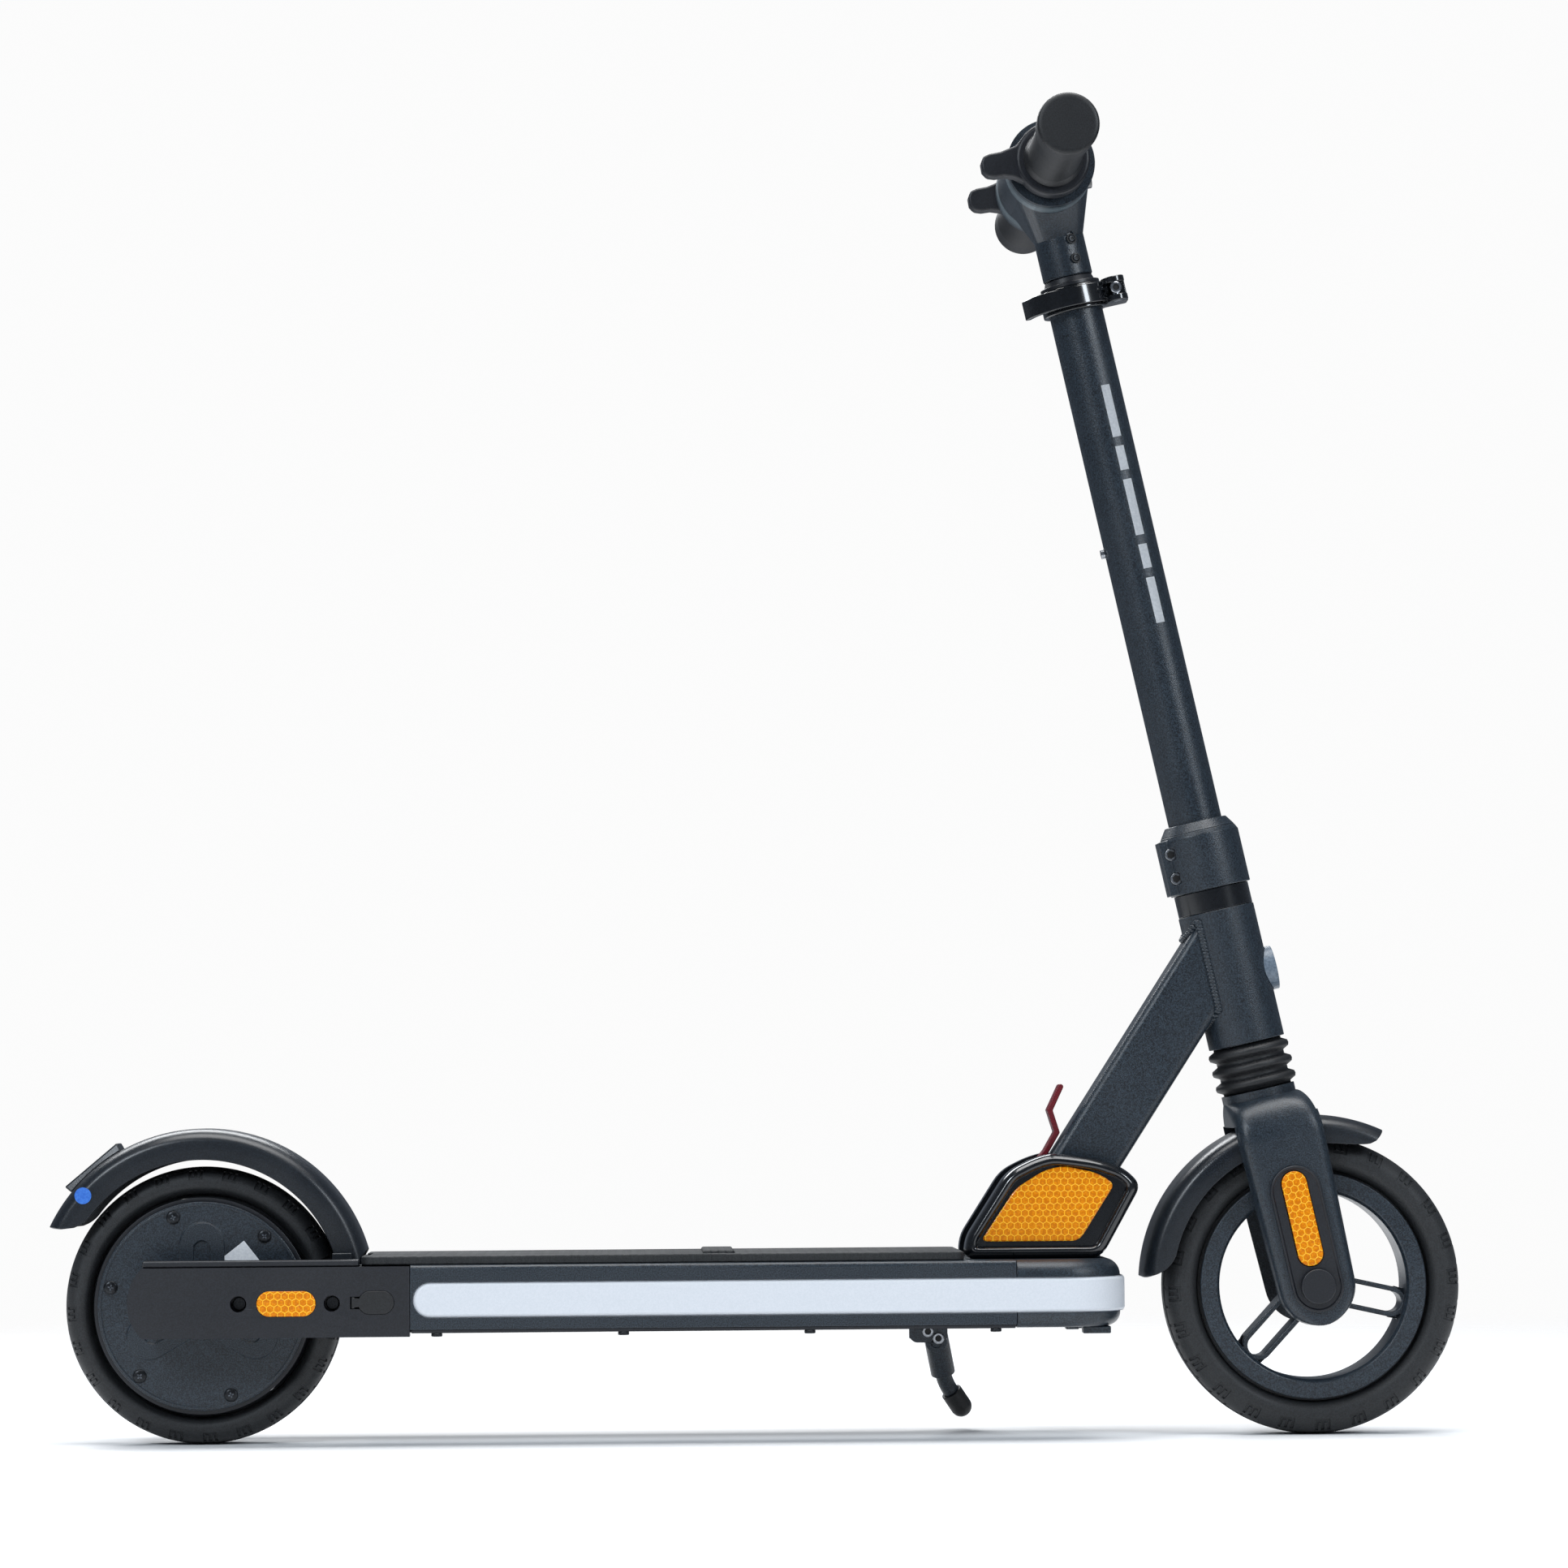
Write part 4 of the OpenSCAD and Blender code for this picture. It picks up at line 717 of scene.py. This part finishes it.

# Hub motor. A cast shell between two coated covers with ribs and a raised ring, each
# held by six cross-head screws in black steel.
# Paler grey crosses on the black motor screws: painted highlight on the walls of their recesses.
cross_highlight_paint = surface("cross_painted_highlight", shade(70, 75, 82), shade(104, 110, 118), rough=0.3, grain=900,
                     depth=0.0001, strength=0.3, Metallic=0.5)
refined("motor_shell", "rear_wheel", plastic, "dark_plastic", edge=0.0004)
cover_shape = copied("motor_covers")
cover_face = 0.0320  # the frame's own screw heads are sunk to it, under the finished ones
for vert in cover_shape.verts:
    if abs(vert.co.y) > cover_face + 0.00055:
        vert.co.y = cover_face if vert.co.y > 0 else -cover_face
piece("motor_covers_finished", cover_shape, "rear_wheel", powder, "charcoal_coat", "motor_covers",
      edge=0.0006)
screw_shape, cross_shape, ring_shape = bmesh.new(), bmesh.new(), bmesh.new()
screw_circle, screw_seat, screw_top, ring_seat = 0.067, 0.0310, 0.03265, 0.0309
pan_head = [(0.0, 0.0), (0.0050, 0.0), (0.0050, 0.0006), (0.0042, 0.0013), (0.0028, 0.0016), (0.0, 0.0017)]
ridge = [(0.0722, 0.0), (0.0722, 0.0007), (0.0730, 0.0010), (0.0738, 0.0007), (0.0738, 0.0)]
for side in (-1, 1):
    for count in range(6):
        at = radians(48 + 60 * count)
        out = rear_hub + Vector((screw_circle * cos(at), 0, screw_circle * sin(at)))
        add_turned(screw_shape, pan_head, sideways(out + Vector((0, side * screw_seat, 0)), side), turns=20)
        for length, width in ((0.0040, 0.0010), (0.0010, 0.0040)):
            add_block(cross_shape, out + Vector((0, side * screw_top, 0)), (length, 0.0002, width),
                      Matrix.Rotation(-at, 4, "Y"))
    add_turned(ring_shape, ridge, sideways(rear_hub + Vector((0, side * ring_seat, 0)), side), turns=96)
piece("motor_cover_screws", outward(screw_shape), "rear_wheel", black_steel, "gloss_black", sharp=50)
piece("motor_screw_painted_highlights", cross_shape, "rear_wheel", cross_highlight_paint, "gloss_black", sharp=50)
piece("motor_cover_ridges", outward(ring_shape), "rear_wheel", powder, "charcoal_coat", sharp=60)
dressed("motor_bearings", steel)

# Motor label. A square of white film stuck on the near motor cover a little aslant,
# and left blank.
paper = surface("label_white", shade(214, 218, 222), shade(228, 231, 234), rough=0.5, grain=600,
                depth=0.00005, strength=0.3)
label_shape = bmesh.new()
label_turn = Matrix.Rotation(radians(52), 4, "Y")
add_block(label_shape, (-0.3730, -0.03125, 0.1222), (0.035, 0.0003, 0.035), label_turn)
piece("motor_label", label_shape, "rear_wheel", paper, "badge_grey", edge=0.0001)

# Neck. A box-section tube welded to the round head tube, both powder coated after
# the weld was left as laid.
rake = radians(12.5)
neck_axis = Matrix.Translation((0.422106, 0, 0)) @ Matrix.Rotation(-rake, 4, "Y")
refined("down_tube", "neck", powder, "charcoal_coat", edge=0.0005, sharp=25)
refined("head_tube", "neck", powder, "charcoal_coat", edge=0.0005)

# Weld. Overlapping puddles under the coat, laid in a line up each side of the box tube
# and in an arc round the head tube above and below it.
tube_half, head_r, joint_s, joint_half, joint_slope = 0.0229, 0.0282, 0.3685, 0.0330, 0.99
bead = [(-0.0168, side * tube_half, 0.3195 + 0.0026 * k) for side in (-1, 1) for k in range(26)]
for k in range(-10, 11):
    y = k * 0.0022
    x = -(head_r ** 2 - y ** 2) ** 0.5
    bead.append((x, y, joint_s + joint_half + x * joint_slope))
    bead.append((x, y, joint_s - joint_half + x * joint_slope))
weld_shape = bmesh.new()
puddle = Matrix.Rotation(radians(24), 4, "Y") @ Matrix.Diagonal((0.0034, 0.0024, 0.0019, 1))
for place in bead:
    bmesh.ops.create_icosphere(weld_shape, subdivisions=2, radius=1.0,
                               matrix=neck_axis @ Matrix.Translation(place) @ puddle)
piece("neck_weld", weld_shape, "neck", powder, "charcoal_coat", sharp=60)

# Headset and badge. Two ball bearings in the head tube under a glossy band, and a
# plain badge in grey paint on the front of the tube.
dressed("headset_bearings", steel)
refined("headset_band", "neck", gloss, "gloss_black", edge=0.0005)
badge_paint = surface("badge_grey", shade(84, 97, 110), shade(108, 121, 134), rough=0.3, grain=500,
                      depth=0.0001, strength=0.3)
refined("badge", "neck", badge_paint, "badge_grey", edge=0.0004)

# Fold lever. A bent strip of steel in crimson paint that turns on a pin behind the
# hinge and frees it.
crimson = surface("crimson_paint", shade(84, 6, 18), shade(112, 12, 28), rough=0.36, grain=900,
                  depth=0.0001, strength=0.35)
refined("fold_lever", "latch", crimson, "crimson_paint", edge=0.0006)

# Stem. An alloy steerer, a split clamp with two bolts, a chamfered cap and the long
# coated tube up to the quick-release collar.
dressed("steerer_tube", alloy)
refined("stem_clamp", "stem", powder, "charcoal_coat", edge=0.0005)
refined("stem_screws", "stem", steel, "bright_steel", edge=0.0003)
refined("stem_cap", "stem", powder, "charcoal_coat", edge=0.0005)
refined("stem_tube", "stem", powder, "charcoal_coat", edge=0.0004)

# Stem dashes. Five plain strips of pale film in a line up the near side of the tube,
# bent round it.
dash_r = 0.0199
dash_shape = bmesh.new()
for low, high in ((0.604, 0.638), (0.645, 0.663), (0.670, 0.712), (0.719, 0.737), (0.744, 0.783)):
    add_skin(dash_shape, [
        [
            dash_shape.verts.new(neck_axis @ Vector((dash_r * cos(at), dash_r * sin(at), s)))
            for at in map(radians, range(-80, -59, 4))
        ]
        for s in (low, high)
    ], closed=False)
bmesh.ops.solidify(dash_shape, geom=dash_shape.faces[:], thickness=0.0002)
piece("stem_dashes", outward(dash_shape), "stem", paper, "badge_grey", sharp=50)

# Bolt recesses. A thin near-black hexagon on the head of each of the two bolts that draw
# the stem clamp together, painted shade standing for its socket.
hex_shape = bmesh.new()
for s in (0.4189, 0.4369):
    bmesh.ops.create_cone(hex_shape, cap_ends=True, segments=6, radius1=0.0030, radius2=0.0030, depth=0.0002,
                          matrix=neck_axis @ sideways((-0.0245, -0.01556, s)))
piece("clamp_bolt_socket_shade", hex_shape, "stem", painted_shade_black, "gloss_black", sharp=50)

# Quick release. A glossy split collar at the top of the stem over a plastic bush, with
# a cam lever and a steel bolt whose socket head shows on the near side.
refined("qr_collar", "stem", gloss, "gloss_black", edge=0.0007)
clip_shape, clip_well = bmesh.new(), bmesh.new()
clip_seat = neck_axis @ sideways((0.030, -0.0248, 0.8504))
add_turned(clip_shape, socket_head, clip_seat, turns=24)
# A near-black disc in the bolt's socket, painted shade.
add_turned(clip_well, socket_floor, clip_seat, turns=24)
piece("clamp_bolt_head", outward(clip_shape), "clamp_lever", steel, "bright_steel", sharp=40)
piece("clamp_bolt_head_socket_shade", outward(clip_well), "clamp_lever", painted_shade_black, "gloss_black", sharp=40)
refined("stem_bush", "stem", plastic, "dark_plastic", edge=0.0005)
refined("qr_lever", "clamp_lever", gloss, "gloss_black", edge=0.0006)

# Fork. One casting, coated like the frame: a round collar swells into shoulders over
# two flat legs with round feet, and a steerer end goes up from it.
collar_r, shoulder_s, crown_low, crown_high, crown_top = 0.0270, 0.2180, 0.2336, 0.2500, 0.2560
axle_s, axle_lead, foot_r, leg_out, leg_in = 0.109602, 0.0046, 0.0285, 0.0485, 0.0385
SQUARE = 9.0  # how square a leg's section is, where 2 is an ellipse


def fork_section(s):
    """Half width, half span, lead and squareness of the fork at a height along the steering axis."""
    if s <= shoulder_s:
        half_x = foot_r + 0.003 * max(0.0, s - axle_s) / (shoulder_s - axle_s)
        return half_x, leg_out, axle_lead, SQUARE
    swell = max(0.0, 1 - ((s - shoulder_s) / (crown_high - shoulder_s)) ** 2) ** 0.5
    span = collar_r + (leg_out - collar_r) * swell
    return collar_r + 0.0045 * swell, span, axle_lead * swell, 2 + (SQUARE - 2) * swell ** 2


fork_shape = bmesh.new()
crown_rows = []
for s in [crown_low + (crown_high - crown_low) * sin(radians(a)) for a in range(0, 91, 9)] + [crown_top]:
    half_x, half_y, lead, power = fork_section(min(s, crown_high))
    row = []
    for k in range(64):
        c, d = cos(2 * pi * k / 64), sin(2 * pi * k / 64)
        x = half_x * abs(c) ** (2 / power) * (1 if c >= 0 else -1) + lead
        row.append(fork_shape.verts.new((x, half_y * abs(d) ** (2 / power) * (1 if d >= 0 else -1), s)))
    crown_rows.append(row)
add_skin(fork_shape, crown_rows)
leg_heights = [axle_s - foot_r * cos(radians(a)) for a in range(6, 91, 7)]
leg_heights += [axle_s + (shoulder_s - axle_s) * k / 6 for k in range(1, 7)]
leg_heights += [0.2215, 0.2250, 0.2285, 0.2315, 0.2340]
for side in (-1, 1):
    leg_rows = []
    for s in leg_heights:
        half_x, half_y, lead, power = fork_section(s)
        if s < axle_s:
            half_x = (foot_r ** 2 - (axle_s - s) ** 2) ** 0.5
        row = []
        for k in range(33):
            part = -cos(pi * k / 32)
            y = max(leg_in + 0.0002, half_y * (1 - abs(part) ** power) ** (1 / power))
            row.append(fork_shape.verts.new((half_x * part + lead, side * y, s)))
        row.append(fork_shape.verts.new((half_x + lead, side * leg_in, s)))
        row.append(fork_shape.verts.new((-half_x + lead, side * leg_in, s)))
        leg_rows.append(row)
    add_skin(fork_shape, leg_rows)
add_turned(fork_shape, [(0.0140, 0.2540), (0.0166, 0.2540), (0.0166, 0.3510), (0.0140, 0.3510)], Matrix())
fork_shape.transform(neck_axis)
piece("fork_cast", outward(fork_shape), "fork", powder, "charcoal_coat", "fork", sharp=50)

# Leg covers. A moulded cover over each leg hides the axle's nuts, and an amber
# reflector of hexagon cells is set in it along the leg.
refined("fork_covers", "fork", plastic, "dark_plastic", edge=0.0006)
amber_raked = honeycomb("amber_cells_raked", cell_width, rake)
refined("fork_reflectors", "fork", amber_raked, "amber_lens", edge=0.0004)
dressed("front_axle", steel)

# Front mudguard. A shorter guard of the same black plastic without lugs, screwed up
# under the fork's crown.
front_hub = Vector((0.402875, 0, 0.108))
mudguard("front_mudguard_moulded", "front_mudguard", "fork", front_hub, outer=0.1235, skirt=0.0205,
         half=0.036, turn=(65, 177), run_out=(0.046, 0.016), lean=(0.3, 0.4))

# Boot and spring. A ribbed rubber bellows between the crown and the head tube over a
# steel spring, each given a mesh of its own.
boot = refined("bellows", "fork", rubber, "black_rubber", edge=0.0, sharp=60)
spring = refined("fork_spring", "fork", steel, "bright_steel", edge=0.0, sharp=60)
for soft in (boot, spring):
    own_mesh(soft)

# Front wheel. A cast alloy rim with three hoop spokes, coated like the frame, in an
# air tyre with the same tread as the rear one.
wheel_tyre("front_tyre_treaded", "front_tyre", "front_wheel", front_hub, bead=0.0728, carcass=0.0824,
           outer=0.108, bead_w=0.035, width=0.052)
refined("front_rim", "front_wheel", powder, "charcoal_coat", edge=0.0007)
dressed("front_bearings", steel)

# Post and bar head. A sliding alloy post carries a cast head with a barrel across it,
# in the frame's coat with a paler band round each end of the barrel.
refined("post_tube", "bar", alloy, "bare_alloy", edge=0.0003)
banded = surface("powder_coat_banded", shade(11, 16, 22), shade(46, 57, 67), rough=0.36, grain=1200,
                 depth=0.0003, strength=0.6)
band_tree = banded.node_tree
coat_colour = band_tree.nodes["Principled BSDF"].inputs["Base Color"]
split = band_tree.nodes.new("ShaderNodeSeparateXYZ")
band_tree.links.new(band_tree.nodes.new("ShaderNodeTexCoord").outputs["Object"], split.inputs[0])


def worked(operation, *given):
    """One step of arithmetic in the banded coat, on fields and numbers."""
    step = band_tree.nodes.new("ShaderNodeMath")
    step.operation = operation
    for socket, value in zip(step.inputs, given):
        if isinstance(value, float):
            socket.default_value = value
        else:
            band_tree.links.new(value, socket)
    return step.outputs[0]


from_middle = worked("ABSOLUTE", split.outputs["Y"])
wide_band, thin_line = (0.0440, 0.0075), (0.0550, 0.0012)  # each its place and half its width
on_wide_band = worked("COMPARE", from_middle, *wide_band)
on_thin_line = worked("COMPARE", from_middle, *thin_line)
band_paint = band_tree.nodes.new("ShaderNodeMix")
band_paint.data_type = "RGBA"
band_tree.links.new(worked("MAXIMUM", on_wide_band, on_thin_line), band_paint.inputs[0])
band_tree.links.new(coat_colour.links[0].from_socket, band_paint.inputs[6])
band_paint.inputs[7].default_value = shade(92, 104, 110)
band_tree.links.new(band_paint.outputs[2], coat_colour)
refined("bar_head", "bar", banded, "charcoal_coat", edge=0.0003, sharp=34)

# Head sleeve. The foot of the bar head in the same coat, a round socket that is
# pushed over the post.
sleeve_line = [(0.0160, 0.8676), (0.0178, 0.8676), (0.0184, 0.8684), (0.0184, 0.9000), (0.0181, 0.9025),
               (0.0172, 0.9060), (0.0160, 0.9060)]
sleeve_shape = bmesh.new()
add_turned(sleeve_shape, sleeve_line, neck_axis, turns=64)
piece("bar_sleeve", outward(sleeve_shape), "bar", powder, "charcoal_coat", sharp=40)

# Grips. Soft rubber sleeves pushed on the alloy bar, finely ribbed, with a collar at
# the inner end and a wide closed end.
dressed("handlebar", alloy)
bar_middle = Vector((0.2177, 0, 0.922))
bore_r, grip_r, rib_height, rib_pitch, flare_from, flare_r = 0.0143, 0.0188, 0.0004, 0.0015, 0.160, 0.0022
grip_collar = [(bore_r, 0.0855), (0.0208, 0.0855), (0.0216, 0.0868), (0.0214, 0.0885), (0.0202, 0.0925),
               (0.0194, 0.0945)]
grip_end = [(0.0212, 0.2000), (0.0216, 0.2120), (0.0220, 0.2195), (0.0219, 0.2228), (0.0214, 0.2244),
            (0.0203, 0.2254), (0.0180, 0.2258), (0.0, 0.2260), (0.0, 0.2252), (bore_r, 0.2252)]
ribs = []
for k in range(69):
    y = 0.0955 + k * rib_pitch
    flare = flare_r * max(0.0, (y - flare_from) / 0.038) ** 2
    ribs.append((grip_r + flare + (rib_height if k % 2 else 0.0), y))
grip_shape = bmesh.new()
for side in (-1, 1):
    add_turned(grip_shape, grip_collar + ribs + grip_end, sideways(bar_middle, side), turns=64)
piece("grips_ribbed", outward(grip_shape), "bar", rubber, "black_rubber", "grips", sharp=50)

# Display, lamp and button. Dark glass over the display and the headlamp in the bar
# head, and the painted power button beside the display.
glass = surface("dark_glass", shade(10, 12, 15), shade(14, 16, 20), rough=0.08, grain=200, depth=0.00002,
                strength=0.1, Coat_Weight=0.8)
refined("head_lenses", "bar", glass, "dark_glass", edge=0.0005)
refined("power_button", "button", badge_paint, "badge_grey", edge=0.0004)

# Thumb paddles. The accelerator and the brake, each a moulded ring that turns on the
# bar next to a grip, with a blunt paddle for the thumb under it.
thumb_line = [(-19, 18), (-27, 9.5), (-38, 5), (-46, 3.5), (-50.5, 1.5), (-52, -3), (-51, -9), (-47.5, -12.8),
              (-42, -13.5), (-35, -12.5), (-28, -13.5), (-20, -17.5), (-12, -23)]
thumb_ring = [(bore_r, 0.066), (0.0258, 0.066), (0.0270, 0.0672), (0.0270, 0.0828), (0.0258, 0.084),
              (bore_r, 0.084)]
thumb_inner, thumb_outer = 0.0675, 0.0825
for name, node, body, side in (("throttle_moulded", "throttle_paddle", "throttle", -1),
                               ("brake_moulded", "brake_paddle", "brake", 1)):
    thumb_shape = bmesh.new()
    low, high = sorted((side * thumb_inner, side * thumb_outer))
    base = thumb_shape.faces.new([
        thumb_shape.verts.new((bar_middle.x + x / 1000, low, bar_middle.z + z / 1000)) for x, z in thumb_line
    ])
    grown = bmesh.ops.extrude_face_region(thumb_shape, geom=[base])["geom"]
    far = [item for item in grown if isinstance(item, bmesh.types.BMVert)]
    bmesh.ops.translate(thumb_shape, verts=far, vec=(0, high - low, 0))
    add_turned(thumb_shape, thumb_ring, sideways(bar_middle, side), turns=64)
    piece(name, outward(thumb_shape), body, plastic, "dark_plastic", node, edge=0.0015, sharp=40, steps=3)

# Set screws. Two black hexagon socket screws sunk in the near side of the head's
# sleeve, which clamp it on the post.
set_head = [(0.0013, 0.0), (0.0029, 0.0), (0.0029, 0.0012), (0.0024, 0.0016), (0.0014, 0.0016),
            (0.0013, 0.0012)]
set_shape, set_wells = bmesh.new(), bmesh.new()
for s in (0.8790, 0.8935):
    seat = (neck_axis @ Matrix.Translation((0, 0, s)) @ Matrix.Rotation(radians(-68), 4, "Z")
            @ Matrix.Rotation(pi / 2, 4, "Y") @ Matrix.Translation((0, 0, 0.0186)))
    # A near-black disc round each screw, painted shade for the hole it is sunk in.
    add_turned(set_wells, disc(0.0038, 0.0010), seat, turns=24)
    add_turned(set_shape, set_head, seat, turns=24)
piece("bar_screw_hole_shade", outward(set_wells), "bar", painted_shade_black, "gloss_black", sharp=40)
piece("bar_set_screws", outward(set_shape), "bar", black_steel, "gloss_black", sharp=40)
